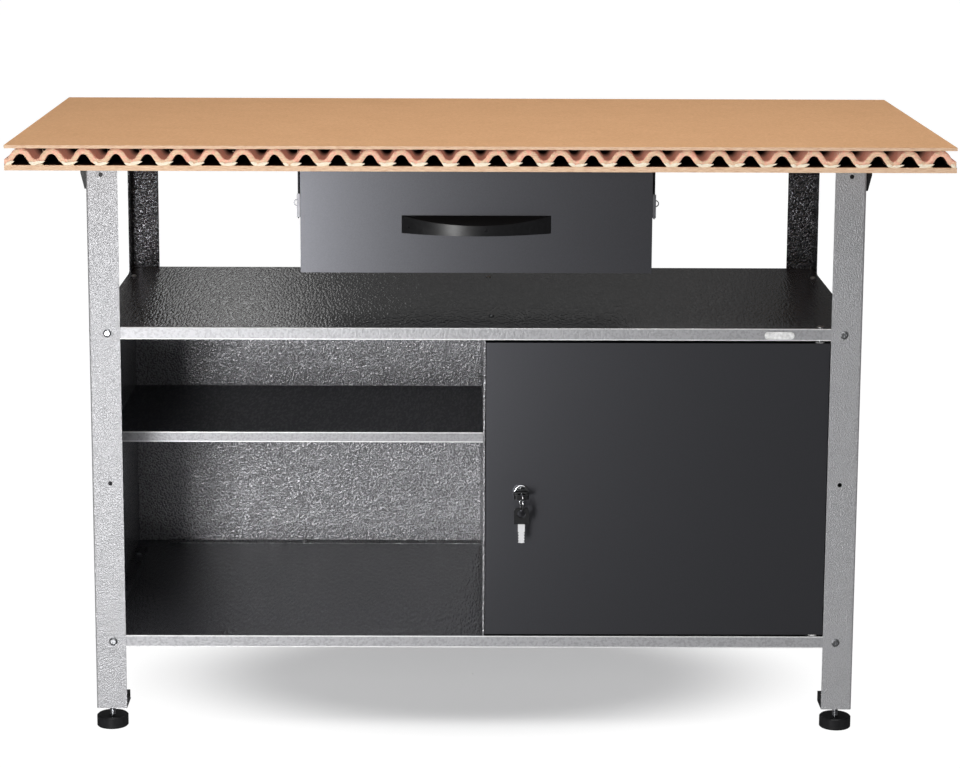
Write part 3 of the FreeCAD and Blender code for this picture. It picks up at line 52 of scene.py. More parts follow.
liner_face = [(0.0, (0.56, 0.29, 0.135)), (0.5, (0.675, 0.37, 0.18)), (1.0, (0.77, 0.45, 0.235))]
liner_cut = [(0.0, (0.64, 0.37, 0.23)), (1.0, (0.88, 0.64, 0.44))]
# Painted shade: the near-black colour put inside the channels.
channel_painted_shade = (0.035, 0.006, 0.004)
# Painted shade: the colour of the liner's face that looks down.
under_shade = (0.12, 0.085, 0.06)
paper_rough = 0.82
board_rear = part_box("worktop_top_liner")[1].y
mouth_depth = 0.007


def material(name, color=(0.8, 0.8, 0.8), **sockets):
    """A new material, with every plain value set on the shader's own socket."""
    made = bpy.data.materials.new(name)
    made.use_nodes = True
    shader = made.node_tree.nodes["Principled BSDF"]
    shader.inputs["Base Color"].default_value = (*color, 1)
    for socket, value in sockets.items():
        shader.inputs[socket.replace("_", " ")].default_value = value
    return made


def node(made, kind, sockets, **settings):
    """One shader node. A socket is given a number, a colour or another node's output."""
    fresh = made.node_tree.nodes.new("ShaderNode" + kind)
    for name, value in settings.items():
        setattr(fresh, name, value)
    for name, value in sockets.items():
        if isinstance(value, bpy.types.NodeSocket):
            made.node_tree.links.new(value, fresh.inputs[name])
        else:
            fresh.inputs[name].default_value = value
    return fresh


def wire(made, socket, value):
    """Leads a node's output to a socket of the material's shader."""
    shader = made.node_tree.nodes["Principled BSDF"]
    made.node_tree.links.new(value, shader.inputs[socket])


def places(made, stretch=(1, 1, 1)):
    """The object's own coordinates in metres, times a stretch for each axis."""
    here = node(made, "TexCoord", {}).outputs["Object"]
    return node(made, "VectorMath", {0: here, 1: stretch}, operation="MULTIPLY").outputs[0]


def place_along(made, axis):
    """The object's own coordinate along one axis, in metres."""
    return node(made, "SeparateXYZ", {0: places(made)}).outputs[axis]


def facing(made, axis):
    """How far the surface faces along an axis: 1 along it, 0 across it, -1 against it."""
    normal = node(made, "TexCoord", {}).outputs["Normal"]
    return node(made, "SeparateXYZ", {0: normal}).outputs[axis]


def magnitude(made, value):
    """The value without its sign."""
    return node(made, "Math", {0: value}, operation="ABSOLUTE").outputs[0]


def product(made, first, second):
    """The two values multiplied."""
    return node(made, "Math", {0: first, 1: second}, operation="MULTIPLY").outputs[0]


def summed(made, first, second, weight):
    """The first value plus the second times a weight."""
    sockets = {0: second, 1: weight, 2: first}
    return node(made, "Math", sockets, operation="MULTIPLY_ADD").outputs[0]


def noise(made, where, scale, detail=2.0, rough=0.5):
    """Cloudy values from 0 to 1, in patches of about one over the scale."""
    sockets = {"Vector": where, "Scale": scale, "Detail": detail, "Roughness": rough}
    return node(made, "TexNoise", sockets).outputs["Fac"]


def ramp(made, share, stops):
    """Blends colours along a share from 0 to 1."""
    band = node(made, "ValToRGB", {"Fac": share})
    elements = band.color_ramp.elements
    while len(elements) < len(stops):
        elements.new(0.5)
    for element, (place, color) in zip(elements, stops):
        element.position = place
        element.color = (*color, 1)
    return band.outputs["Color"]


def between(made, value, start, end):
    """0 up to the start, 1 from the end on, smooth in between. The end may be the lower one."""
    sockets = {"Value": value, "From Min": start, "From Max": end}
    return node(made, "MapRange", sockets, interpolation_type="SMOOTHSTEP").outputs["Result"]


def mixed(made, share, first, second):
    """The first colour where the share is 0 and the second where it is 1."""
    blend = node(made, "Mix", {"Factor": share}, data_type="RGBA")
    for index, value in ((6, first), (7, second)):
        if isinstance(value, bpy.types.NodeSocket):
            made.node_tree.links.new(value, blend.inputs[index])
        else:
            blend.inputs[index].default_value = (*value, 1)
    return blend.outputs[2]


def dented(made, height, depth, strength=1.0):
    """Raises the surface by a height from 0 to 1 times a depth in metres."""
    sockets = {"Height": height, "Distance": depth, "Strength": strength}
    wire(made, "Normal", node(made, "Bump", sockets).outputs["Normal"])


def layered(made, stops):
    """The sawn edge of paper: thin plies, one above the other."""
    ply = noise(made, places(made, (90, 90, 1500)), 1.0, 3, 0.6)
    return ramp(made, between(made, ply, 0.3, 0.65), stops)


def dress(made, *names):
    """Gives a carried-over CAD part its finish."""
    for name in names:
        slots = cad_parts[name].data.materials
        slots.clear()
        slots.append(made)


def liner(name, inner_side, under):
    """Kraft board whose inner face, above or below it, carries a painted shade behind the mouths of the
    channels.
    The face that looks down carries a painted shade as well, by a given share."""
    made = material(name, Roughness=paper_rough)
    fibre = noise(made, places(made, (260, 900, 900)), 1.0, 5, 0.62)
    cloud = noise(made, places(made), 14, 3)
    skin = ramp(made, between(made, summed(made, fibre, cloud, 0.12), 0.28, 0.84), liner_face)
    up = facing(made, "Z")
    flat = between(made, magnitude(made, up), 0.35, 0.75)
    lit = mixed(made, flat, layered(made, liner_cut), skin)
    # Painted shade on the face that looks down.
    below = product(made, between(made, up, -0.5, -0.9), under)
    lit = mixed(made, below, lit, under_shade)
    # Painted shade: the inner face goes near-black behind the channels' mouths.
    inward = magnitude(made, place_along(made, "Y"))
    painted_shade_mask = between(made, inward, board_rear - 0.0008, board_rear - mouth_depth)
    inner = between(made, up, 0.5 * inner_side, 0.9 * inner_side)
    wire(made, "Base Color", mixed(made, product(made, painted_shade_mask, inner), lit, channel_painted_shade))
    dented(made, noise(made, places(made, (500, 1400, 1400)), 1.0, 4, 0.6), 0.00025, 0.6)
    return made


dress(liner("kraft_top_liner", inner_side=-1, under=0.0), "worktop_top_liner")
dress(liner("kraft_bottom_liner", inner_side=1, under=0.8), "worktop_bottom_liner")


# Fluted sheet: one thick paper web, pressed into thirty waves and glued to both liners at its crests.
# Its sawn edge is ragged and pale; inside the channels a painted shade takes the paper to dark brown.

flute_count = 30
paper_thick = 0.0075
flute_slope = math.radians(57)
cut_ragged = 0.0016
cut_lean = 0.0011
lean_seeds, rim_seeds, torn_seed = (11, 12), (21, 22), 31
flute_cut = [(0.0, (0.72, 0.42, 0.27)), (1.0, (0.93, 0.69, 0.46))]
flute_blush = [(0.3, (0.80, 0.38, 0.27)), (0.7, (0.97, 0.62, 0.48))]
# Painted light: the colour and strength of the paper's glow.
painted_glow_color = (0.95, 0.42, 0.30)
painted_glow_strength = 0.17
valley_shade_depth = 0.085
rim_sharp = 180

board_low, board_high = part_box("worktop_flutes")
board_depth = board_high.y - board_low.y
pitch = (board_high.x - board_low.x) / flute_count
climb = board_high.z - board_low.z - paper_thick
wave_radius = (pitch / 2 * math.sin(flute_slope) - climb * math.cos(flute_slope)) / (
    2 * (1 - math.cos(flute_slope))
)


def surface(name, grid, capped=True):
    """A mesh from an array of points, rows by columns by 3. Row i, column j is the surface's point at
    the i-th and j-th steps of its two parameters. The last column joins the first, and capped
    closes the first and the last row with one face each."""
    rows, columns = grid.shape[:2]
    row = np.arange(rows - 1)[:, None] * columns
    column = np.arange(columns)[None, :]
    beside = (column + 1) % columns
    corners = (row + column, row + columns + column, row + columns + beside, row + beside)
    faces = np.stack(corners, -1).reshape(-1, 4).tolist()
    if capped:
        faces.append(list(range(columns)))
        faces.append(list(range(rows * columns - 1, (rows - 1) * columns - 1, -1)))
    mesh = bpy.data.meshes.new(name)
    mesh.from_pydata(grid.reshape(-1, 3).tolist(), [], faces)
    mesh.shade_smooth()
    mesh.validate()
    return mesh


def piece(name, mesh, made, body):
    """Puts a mesh into the scene as a piece that rides on a body."""
    placed = bpy.data.objects.new(name, mesh)
    bpy.context.scene.collection.objects.link(placed)
    mesh.materials.append(made)
    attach(placed, body)
    return placed


def wobble(seed, count, reach, steps):
    """A smooth random line from -reach to reach: random heights at wide steps, joined by half cosines."""
    heights = np.random.default_rng(seed).uniform(-reach, reach, count // steps + 2)
    at = np.arange(count) / steps
    low = at.astype(int)
    share = (1 - np.cos(np.pi * (at - low))) / 2
    return heights[low] * (1 - share) + heights[low + 1] * share


def wave(arc_steps):
    """One flute's centre line: an arc up from the valley to the slope, an arc over the crest and its
    mirror image down, with straight flanks between. Returns x, z and the paper's tilt."""
    tilt = np.linspace(0, flute_slope, arc_steps)
    valley_x = wave_radius * np.sin(tilt)
    valley_z = wave_radius * (1 - np.cos(tilt))
    x = np.concatenate([valley_x, pitch / 2 - valley_x[::-1]])
    z = np.concatenate([valley_z, climb - valley_z[::-1]])
    tilt = np.concatenate([tilt, tilt[::-1]])
    x = np.concatenate([x, pitch - x[-2:0:-1]])
    z = np.concatenate([z, z[-2:0:-1]])
    return x, z, np.concatenate([tilt, -tilt[-2:0:-1]])


def fluted_sheet():
    """The wave repeated along the board, offset half a paper's thickness to each side of its centre
    line, and carried from the front edge to the rear one. Near both edges the sawn paper leans a
    little to either side and its rim steps in and out."""
    x, z, tilt = wave(arc_steps=6)
    along = (np.arange(flute_count)[:, None] * pitch + x[None, :]).ravel()
    along = np.append(along, flute_count * pitch) + board_low.x
    centre = np.append(np.tile(z, flute_count), 0) + board_low.z + paper_thick / 2
    tilt = np.append(np.tile(tilt, flute_count), 0)
    count = along.size
    inset = np.array([0.0, 0.0012, 0.006, 0.02])
    stations = np.concatenate([inset, board_depth - inset[::-1]])
    near_edge = np.exp(-np.minimum(stations, board_depth - stations) / 0.004)
    ring = []
    for side, order in ((1, slice(None)), (-1, slice(None, None, -1))):
        for station, share in zip(stations[order], near_edge[order]):
            edge = 0 if station < board_depth / 2 else 1
            lean = wobble(lean_seeds[edge], count, cut_lean, 9) * share
            rim = (wobble(rim_seeds[edge], count, 0.5, 3) + 0.5) * cut_ragged
            torn = (wobble(torn_seed + side, count, 0.5, 2) + 0.5) * cut_ragged * 0.6
            back = (rim + torn) * share * (1 - 2 * edge)
            half = paper_thick / 2 * (1 - 0.12 * share)
            point_x = along - side * np.sin(tilt) * half + lean
            point_z = centre + side * np.cos(tilt) * half
            point_x = np.clip(point_x, board_low.x, board_high.x)
            ring.append(np.stack([point_x, board_low.y + station + back, point_z], -1))
    return surface("fluted_sheet", np.stack(ring, 1))


def fluted_paper():
    """Pale, layered paper at the sawn edge, pink brown behind it and nearly black farther in, as painted
    shade.
    On the sides that look up the painted shade begins a way into the channels, on those that look down
    at once; a painted glow lights the paper until the shade begins."""
    made = material("fluted_paper", Roughness=paper_rough, Emission_Strength=painted_glow_strength)
    inward = magnitude(made, place_along(made, "Y"))
    blotch = noise(made, places(made, (300, 300, 300)), 1.0, 3)
    rim_place = summed(made, blotch, inward, rim_sharp)
    rim = between(made, rim_place, board_rear * rim_sharp + 0.02, board_rear * rim_sharp + 0.42)
    # Painted shade: the paper darkens into the channels, sooner on the sides that look down.
    far = between(made, inward, board_rear - 0.03, board_rear - valley_shade_depth)
    near = between(made, inward, board_rear - 0.001, board_rear - mouth_depth)
    painted_shade_mask = mixed(made, between(made, facing(made, "Z"), -0.1, 0.3), near, far)
    paper = mixed(made, painted_shade_mask, ramp(made, blotch, flute_blush), channel_painted_shade)
    wire(made, "Base Color", mixed(made, rim, paper, layered(made, flute_cut)))
    # Painted light: the paper glows in front of its painted shade, though it is no lamp.
    glow = mixed(made, painted_shade_mask, painted_glow_color, (0, 0, 0))
    wire(made, "Emission Color", mixed(made, rim, glow, (0, 0, 0)))
    dented(made, noise(made, places(made, (900, 300, 900)), 1.0, 4, 0.6), 0.0004, 0.7)
    return made


fluted_sheet_piece = piece("fluted_sheet", fluted_sheet(), fluted_paper(), "bench")
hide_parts("worktop_flutes")


# Glue shoulders: starch glue squeezed out into the wedges beside each foot of a flute.
# They run the depth of the board and show as pale wedges at the sawn edges, shorter on the right
# side of a channel.

glue_pale = [(0.0, (0.78, 0.56, 0.34)), (1.0, (0.97, 0.85, 0.62))]
glue_reach = 0.0105
right_reach = 0.72
shoulder_seed = 5


def glue_shoulder(foot, side, reach):
    """A wedge between the board's lower liner and the paper's underside: for a share s from the foot
    to the nose, its floor lies on the liner and its roof follows the arc r (1 - cos) of the paper,
    rounded off at the nose like the end of an ellipse. Carried along the board's depth, and thinner
    in its middle."""
    share = np.linspace(0, 1, 9)
    outer = wave_radius + paper_thick / 2
    run = share * reach
    roof = outer - np.sqrt(outer**2 - np.minimum(run, outer * 0.86) ** 2)
    roof = roof * np.sqrt(np.clip(1 - share**6, 0, 1)) + 0.0002 * np.sqrt(np.clip(1 - share**2, 0, 1))
    x = np.concatenate([run, run[-2:0:-1]])
    z = np.concatenate([roof, np.zeros(len(run) - 2)])
    inset = np.array([0.0002, 0.0015, 0.006, 0.02])
    stations = np.concatenate([inset, board_depth - inset[::-1]])
    shrink = np.array([0.86, 1.0, 0.93, 0.8, 0.8, 0.93, 1.0, 0.86])
    point_x = foot + side * x[None, :] * shrink[:, None]
    point_y = np.broadcast_to((board_low.y + stations)[:, None], point_x.shape)
    point_z = board_low.z + z[None, :] * shrink[:, None]
    grid = np.stack([point_x, point_y, point_z], -1)
    return grid if side > 0 else grid[:, ::-1]


def merged(name, grids):
    """One mesh of several closed surfaces."""
    points, faces, start = [], [], 0
    for grid in grids:
        part = surface(name, grid)
        corners = np.empty(len(part.vertices) * 3)
        part.vertices.foreach_get("co", corners)
        points.append(corners.reshape(-1, 3))
        faces += [[start + index for index in face.vertices] for face in part.polygons]
        start += len(part.vertices)
        bpy.data.meshes.remove(part)
    mesh = bpy.data.meshes.new(name)
    mesh.from_pydata(np.concatenate(points).tolist(), [], faces)
    mesh.shade_smooth()
    return mesh


shoulder_draw = np.random.default_rng(shoulder_seed)
shoulders = []
for foot_x in board_low.x + np.arange(flute_count) * pitch:
    for side, foot, most in ((1, foot_x, glue_reach), (-1, foot_x + pitch, glue_reach * right_reach)):
        shoulders.append(glue_shoulder(foot, side, shoulder_draw.uniform(0.78, 1.0) * most))
glue = material("glue", Roughness=0.55)
wire(glue, "Base Color", ramp(glue, noise(glue, places(glue, (300, 600, 1200)), 1.0, 3), glue_pale))
piece("glue_shoulders", merged("glue_shoulders", shoulders), glue, "bench")


# Glue tongues: flakes of set glue and pale paper that the saw pushed out at each foot of a flute.
# They lie against the sawn edge, the longer ones at the left feet.

tongue_pale = [(0.25, (0.94, 0.76, 0.54)), (0.75, (1.0, 0.95, 0.80))]
tongue_thick = 0.0011
left_length, left_heel = 0.0190, 0.0135
right_length, right_heel = 0.0090, 0.0095
end_gap = 0.0012
tongue_seed = 15


def tongue(heel, tip, width, bow, edge_y, outward):
    """A flake in the plane of the sawn edge. Its middle line runs from heel to tip and bows down by
    a parabola, its half width is that of an ellipse whose widest place lies near the tip, and it
    stands out from the edge as a flat dome. Rows run along it, columns round it."""
    rows, columns = 9, 8
    share = np.linspace(0, 1, rows)
    x = heel[0] + (tip[0] - heel[0]) * share
    z = heel[1] + (tip[1] - heel[1]) * share - bow * 4 * share * (1 - share)
    half = width / 2 * np.sqrt(np.clip(1 - (2 * share**1.5 - 1) ** 2, 0.004, 1))
    turn = np.linspace(0, 2 * np.pi, columns, endpoint=False)
    point_x = np.broadcast_to(x[:, None], (rows, columns))
    point_z = z[:, None] + np.cos(turn) * half[:, None]
    stand = tongue_thick / 2 * (1 + np.sin(turn)[None, :] * (half / half.max())[:, None])
    point_y = edge_y + outward * (stand - tongue_thick)
    grid = np.stack([point_x, point_y, point_z], -1)
    return grid if (tip[0] > heel[0]) == (outward > 0) else grid[:, ::-1]


tongue_draw = np.random.default_rng(tongue_seed)
tongues = []
for edge_y, outward in ((board_low.y, -1), (board_high.y, 1)):
    for foot_x in board_low.x + np.arange(flute_count) * pitch:
        feet = ((1, foot_x, left_length, left_heel), (-1, foot_x + pitch, right_length, right_heel))
        for side, foot, most, reach in feet:
            length = most * tongue_draw.uniform(0.75, 1.08)
            rise = tongue_draw.uniform(0.0034, 0.0052)
            heel = (foot + side * reach * tongue_draw.uniform(0.85, 1.08), board_low.z + rise)
            tip_x = np.clip(heel[0] - side * length, board_low.x + end_gap, board_high.x - end_gap)
            tip = (tip_x, board_low.z + tongue_draw.uniform(0.0002, 0.0016))
            width = tongue_draw.uniform(0.0040, 0.0060)
            bow = tongue_draw.uniform(-0.0004, 0.0008)
            tongues.append(tongue(heel, tip, width, bow, edge_y, outward))
flake = material("glue_flake", Roughness=0.6)
wire(flake, "Base Color", ramp(flake, noise(flake, places(flake, (260, 260, 900)), 1.0, 3), tongue_pale))
piece("glue_tongues", merged("glue_tongues", tongues), flake, "bench")


# Frayed fibres: slivers of paper that the saw tore loose along the flutes' sawn crests.
# Each is a thin curled strip that tapers to a point.

sliver_count = 560
sliver_width = 0.0018
sliver_seed = 8
fibre_tones = [(0.3, (0.72, 0.42, 0.33)), (0.7, (0.95, 0.78, 0.62))]


def sliver(start, heading, length, curl):
    """A strip whose middle line leaves the start along the heading and curls over by a growing turn,
    and whose width falls to nothing as 1 - s squared. Its section is a flat lens."""
    share = np.linspace(0, 1, 5)
    turn = heading + curl * share
    step = length / 4
    x = start[0] + np.concatenate([[0], np.cumsum(np.cos(turn[:-1]) * step)])
    z = start[2] + np.concatenate([[0], np.cumsum(np.sin(turn[:-1]) * step)])
    half = sliver_width * (1 - share**2) / 2 + 0.00004
    section = np.array([(1, 0), (0, 1), (-1, 0), (0, -1)])
    y = start[1] + section[None, :, 0] * half[:, None]
    lift = section[None, :, 1] * half[:, None] * 0.35
    point_x = x[:, None] - np.sin(turn)[:, None] * lift
    point_z = z[:, None] + np.cos(turn)[:, None] * lift
    point_y = np.clip(y, board_low.y, board_high.y)
    return np.stack([point_x, point_y, np.minimum(point_z, board_high.z - 0.0001)], -1)


sliver_draw = np.random.default_rng(sliver_seed)
slivers = []
crest_radius = wave_radius + paper_thick / 2
for edge_y, edge_turn in ((board_low.y + 0.0009, 1), (board_high.y - 0.0009, -1)):
    for index in range(sliver_count // 2):
        crest_x = board_low.x + (sliver_draw.integers(flute_count) + 0.5) * pitch
        offset = sliver_draw.uniform(-0.010, 0.006)
        fall = crest_radius - math.sqrt(crest_radius**2 - min(abs(offset), crest_radius * 0.9) ** 2)
        root_y = edge_y + edge_turn * sliver_draw.uniform(0, 0.001)
        root = (crest_x + offset, root_y, board_high.z - fall - 0.0015)
        heading = sliver_draw.uniform(0.2, 2.9)
        length = sliver_draw.uniform(0.002, 0.0062)
        slivers.append(sliver(root, heading, length, sliver_draw.uniform(-1.2, 1.2)))
fibre = material("torn_fibre", Roughness=0.9)
wire(fibre, "Base Color", ramp(fibre, noise(fibre, places(fibre), 900, 2), fibre_tones))
piece("frayed_fibres", merged("frayed_fibres", slivers), fibre, "bench")


# Frame: four folded angle legs, the shelf trays and the panels, all of thin sheet steel.
# A hammertone coat covers them: metallic paint that dried into small shining dimples.
# It is light on the front legs and the trays' lips; on the rear legs and the decks it is darker, as painted
# shade.

hammer_legs = (0.46, 0.46, 0.475)
hammer_light = (0.40, 0.40, 0.415)
hammer_grey = (0.355, 0.355, 0.37)
# Painted shade: a darker copy of the leg colour, for the rear legs.
hammer_rear_shaded = (0.10, 0.10, 0.107)
# Painted shade: the darker colour given to faces that look up.
deck_painted_shade = (0.062, 0.062, 0.069)
deck_contrast = 0.16
deck_metallic = 0.3
# Painted highlight: the pale line along the trays' bends, its half width and its inset.
bend_painted_highlight = (0.95, 0.95, 0.95)
bend_half = 0.0011
bend_inset = 0.0006
tray_gloss = (("middle_shelf", 0.17, 0.5), ("bottom_shelf", 0.2, 0.5), ("inner_shelf", 0.4, 0.12))


def spread(made, share, low, high):
    """A share from 0 to 1, taken to the span from low to high."""
    return node(made, "MapRange", {"Value": share, "To Min": low, "To Max": high}).outputs["Result"]


def shades(color, dark, light, ends=(0.2, 0.8)):
    """The stops of a ramp from a darker to a lighter shade of a colour, each given as a factor."""
    factors = zip(ends, (dark, light))
    return [(end, tuple(min(1, channel * factor) for channel in color)) for end, factor in factors]


def hammertone(
    name, light, contrast, cell, dimples, roughness, metallic,
    deck_rough=0.3, shine=0.5, stretch=1.0, bends=(),
):
    """Metallic paint with shallow dimples: swells and a cell pattern of the same size raise the coat,
    by the first depth on upright faces and by the second on those that look up. These carry a
    painted shade: their colour is darker. A painted highlight runs along the bends, whose heights
    are given."""
    made = material(name, Specular_IOR_Level=shine)
    here = places(made, (1, stretch, 1))
    swells = between(made, noise(made, here, cell, 1.0, 0.4), 0.3, 0.7)
    cells = node(made, "TexVoronoi", {"Vector": here, "Scale": cell}, feature="F1").outputs["Distance"]
    height = summed(made, swells, cells, 0.7)
    share = between(made, height, 0.3, 1.1)
    upward = between(made, facing(made, "Z"), 0.35, 0.9)
    dented(made, height, spread(made, upward, *dimples))
    upright = ramp(made, share, shades(light, 1 - contrast, 1 + contrast, (0, 1)))
    # Painted shade: faces that look up take the darker deck colour.
    deck_shaded_color = ramp(made, share, shades(deck_painted_shade, 1 - deck_contrast, 1 + deck_contrast, (0, 1)))
    color = mixed(made, upward, upright, deck_shaded_color)
    # Painted highlight: a pale line along each bend, on faces that look forward or back.
    for bend_z in bends:
        gap = node(made, "Math", {0: place_along(made, "Z"), 1: bend_z}, operation="SUBTRACT").outputs[0]
        line = between(made, magnitude(made, gap), bend_half, bend_half * 0.3)
        bright = product(made, line, magnitude(made, facing(made, "Y")))
        color = mixed(made, bright, color, bend_painted_highlight)
    wire(made, "Base Color", color)
    wire(made, "Metallic", spread(made, upward, metallic, deck_metallic))
    speckled = spread(made, share, deck_rough * 0.85, deck_rough * 1.2)
    wire(made, "Roughness", spread(made, upward, roughness, speckled))
    return made


corners = [f"{end}_{side}" for end in ("front", "rear") for side in ("left", "right")]
front_coat = hammertone(
    "hammertone_fine", hammer_legs, 0.09, cell=620, dimples=(0.00026, 0.00026), roughness=0.40, metallic=0.5
)
dress(front_coat, "leg_front_left", "leg_front_right")
# Painted shade: the rear legs, the same parts as the front ones, get a darker copy of the coat.
rear_shaded_coat = hammertone(
    "hammertone_rear_shaded", hammer_rear_shaded, 0.6, cell=340, dimples=(0.0007, 0.0007), roughness=0.22, metallic=0.8
)
dress(rear_shaded_coat, "leg_rear_left", "leg_rear_right")
sheet_coat = hammertone(
    "hammertone_coarse", hammer_grey, 0.3, cell=380, dimples=(0.0006, 0.0006), roughness=0.27, metallic=0.6
)
dress(sheet_coat, "left_side_panel", "right_side_panel", "back_panel", "partition")
for tray, deck_rough, shine in tray_gloss:
    tray_low, tray_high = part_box(tray)
    tray_coat = hammertone(
        f"hammertone_{tray}", hammer_light, 0.1, cell=340, dimples=(0.00012, 0.00028), roughness=0.42,
        metallic=0.4, deck_rough=deck_rough, shine=shine, stretch=0.2,
        bends=(tray_high.z - bend_inset, tray_low.z + bend_inset),
    )
    dress(tray_coat, tray)


# Leg caps, foot inserts and round foot pads: black plastic, moulded, with a fine dull grain.
# The caps and inserts are pushed into the legs' ends, and a pad turns on each foot's spindle.

def moulded(name, color, roughness, shine=0.5, grain=1600, depth=0.00012):
    """Moulded plastic: a fine grain, and a slow change of gloss over the surface."""
    made = material(name, Specular_IOR_Level=shine)
    here = places(made)
    gloss = noise(made, here, 60, 2)
    wire(made, "Roughness", spread(made, gloss, roughness * 0.8, min(1, roughness * 1.25)))
    dented(made, noise(made, here, grain, 3), depth, 0.5)
    wire(made, "Base Color", ramp(made, noise(made, here, 220, 3), shades(color, 0.7, 1.4)))
    return made


black_plastic = moulded("black_plastic", (0.014, 0.014, 0.015), 0.36, shine=0.22)
for corner in corners:
    dress(black_plastic, f"leg_cap_{corner}", f"foot_insert_{corner}", f"foot_pad_{corner}")


# Zinc plate: pressed and turned steel parts, bright on the bolts, nuts, screws, pins and the lock's
# cam, and duller on the roll-formed members of the drawer's runners.

def plated(name, color, roughness, metallic=1.0):
    """Bright plated steel with faint drawing lines and a mottled shine."""
    made = material(name, Metallic=metallic)
    lines = noise(made, places(made, (300, 300, 1200)), 1.0, 3)
    wire(made, "Roughness", spread(made, lines, roughness * 0.7, roughness * 1.4))
    dented(made, lines, 0.00005, 0.4)
    wire(made, "Base Color", ramp(made, noise(made, places(made), 120, 3), shades(color, 0.85, 1)))
    return made


zinc = plated("zinc", (0.62, 0.63, 0.65), 0.34)
dress(zinc, "frame_bolts", "frame_nuts", "panel_screws", "worktop_screws", "foot_nuts", "door_pivot_pins")
dress(zinc, "handle_screws", "cam_screw", "lock_cam", "lock_nut")
dull_zinc = plated("dull_zinc", (0.24, 0.24, 0.255), 0.36)
for member in ("outer", "middle", "inner"):
    dress(dull_zinc, f"runner_{member}_left", f"runner_{member}_right")


# Foot spindles: zinc-plated M8 threaded rod that screws through the nut in the foot insert.
# Turning the pad lifts or lowers its corner of the bench.

thread_pitch = 0.00125
thread_depth = 0.0007


def threaded(low, high, radius):
    """A rod whose radius dips as a triangle wave of the height, less the turn: one start, right hand."""
    centre = (low + high) / 2
    steps, around = 300, 24
    height = np.linspace(low.z, high.z, steps)[:, None]
    turn = np.linspace(0, 2 * np.pi, around, endpoint=False)[None, :]
    phase = (height / thread_pitch - turn / (2 * np.pi)) % 1
    dip = np.abs(2 * phase - 1) * thread_depth
    dip[0, :] = dip[-1, :] = thread_depth
    reach = radius - dip
    point_x = centre.x + reach * np.cos(turn)
    point_y = centre.y + reach * np.sin(turn)
    grid = np.stack([point_x, point_y, np.broadcast_to(height, reach.shape)], -1)
    return surface("thread", grid[:, ::-1])


for corner in corners:
    rod_low, rod_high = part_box(f"foot_spindle_{corner}")
    mesh = threaded(rod_low, rod_high, (rod_high.x - rod_low.x) / 2)
    spindle = piece(f"spindle_{corner}", mesh, zinc, f"foot_{corner}")
    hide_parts(f"foot_spindle_{corner}")


# Drawer and door: a folded front pan on a tray, and a folded door pan on two pins.
# Both have a smooth satin anthracite coat. The drawer hangs from black angles under the board.

anthracite = (0.115, 0.116, 0.128)
hanger_black = (0.016, 0.016, 0.018)


def satin(name, color, roughness):
    """Smooth satin powder coat with a faint orange peel."""
    made = material(name, Roughness=roughness, Metallic=0.85)
    here = places(made)
    dented(made, noise(made, here, 700, 2), 0.00006, 0.5)
    wire(made, "Base Color", ramp(made, noise(made, here, 1100, 3, 0.7), shades(color, 0.86, 1.16)))
    return made


dress(satin("satin_anthracite", anthracite, 0.30), "drawer_front", "drawer_tray", "door_panel")
dress(satin("black_steel", hanger_black, 0.4), "drawer_hanger_left", "drawer_hanger_right")


# Drawer grip and key heads: black plastic. The grip is a smooth, glossy shell, closed on top and held
# by two screws from inside the drawer; the heads are moulded round the keys' blades.

gloss_black = moulded("gloss_black", (0.010, 0.010, 0.011), 0.30, shine=0.3, grain=900, depth=0.00001)
dress(gloss_black, "drawer_handle")
dress(black_plastic, "key_head", "spare_key_head")


# Door bushes: white nylon, turned with a flange. They are pressed into the door pan's top and bottom
# returns, and the pivot pins run in them.

dress(moulded("nylon", (0.75, 0.75, 0.72), 0.5), "door_bushes")


# Lock, keys and ring: die-cast and turned parts in bright chrome, with nickel-plated key blades.
# A nut behind the door's skin holds the lock, and the ring of spring wire holds both keys.

dress(plated("chrome", (0.83, 0.84, 0.86), 0.12), "lock_housing", "lock_plug", "key_ring")
dress(plated("nickel", (0.86, 0.86, 0.87), 0.4, metallic=0.45), "key_blade", "spare_key_blade")


# Badge: a blank white pill of moulded plastic with a domed front.
# It is stuck on the middle shelf's lip, near the right leg.

badge_low, badge_high = (0.3737, 0.5294), (0.4128, 0.5394)
badge_thick = 0.0012
badge_round = 0.0006
badge_taper = 0.0007


def pill(low, high, front):
    """A stadium outline, two half circles joined by straights, carried from its back to a domed front:
    each ring shrinks by the cosine and stands out by the sine of its step."""
    radius = (high[1] - low[1]) / 2
    turn = np.linspace(-np.pi / 2, np.pi / 2, 13)
    middle = np.array([(low[0] + high[0]) / 2, (low[1] + high[1]) / 2])
    right = np.stack([high[0] - radius + radius * np.cos(turn), middle[1] + radius * np.sin(turn)], -1)
    left = np.stack([low[0] + radius - radius * np.cos(turn), middle[1] - radius * np.sin(turn)], -1)
    outline = np.concatenate([right, left])
    share = np.linspace(0, np.pi / 2, 5)
    inset = np.concatenate([[0.0], (1 - np.cos(share)) * badge_taper])
    stand = np.concatenate([[0.0], badge_thick - badge_round + np.sin(share) * badge_round])
    span = np.linalg.norm(outline - middle, axis=1)
    rings = middle + (outline - middle)[None, :, :] * (1 - inset[:, None] / span[None, :])[:, :, None]
    y = np.broadcast_to((front - stand)[:, None], rings.shape[:2])
    return surface("badge", np.stack([rings[:, :, 0], y, rings[:, :, 1]], -1))


lip_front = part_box("middle_shelf")[0].y
white_plastic = moulded("white_plastic", (0.8, 0.8, 0.79), 0.35)
piece("badge", pill(badge_low, badge_high, lip_front), white_plastic, "bench")


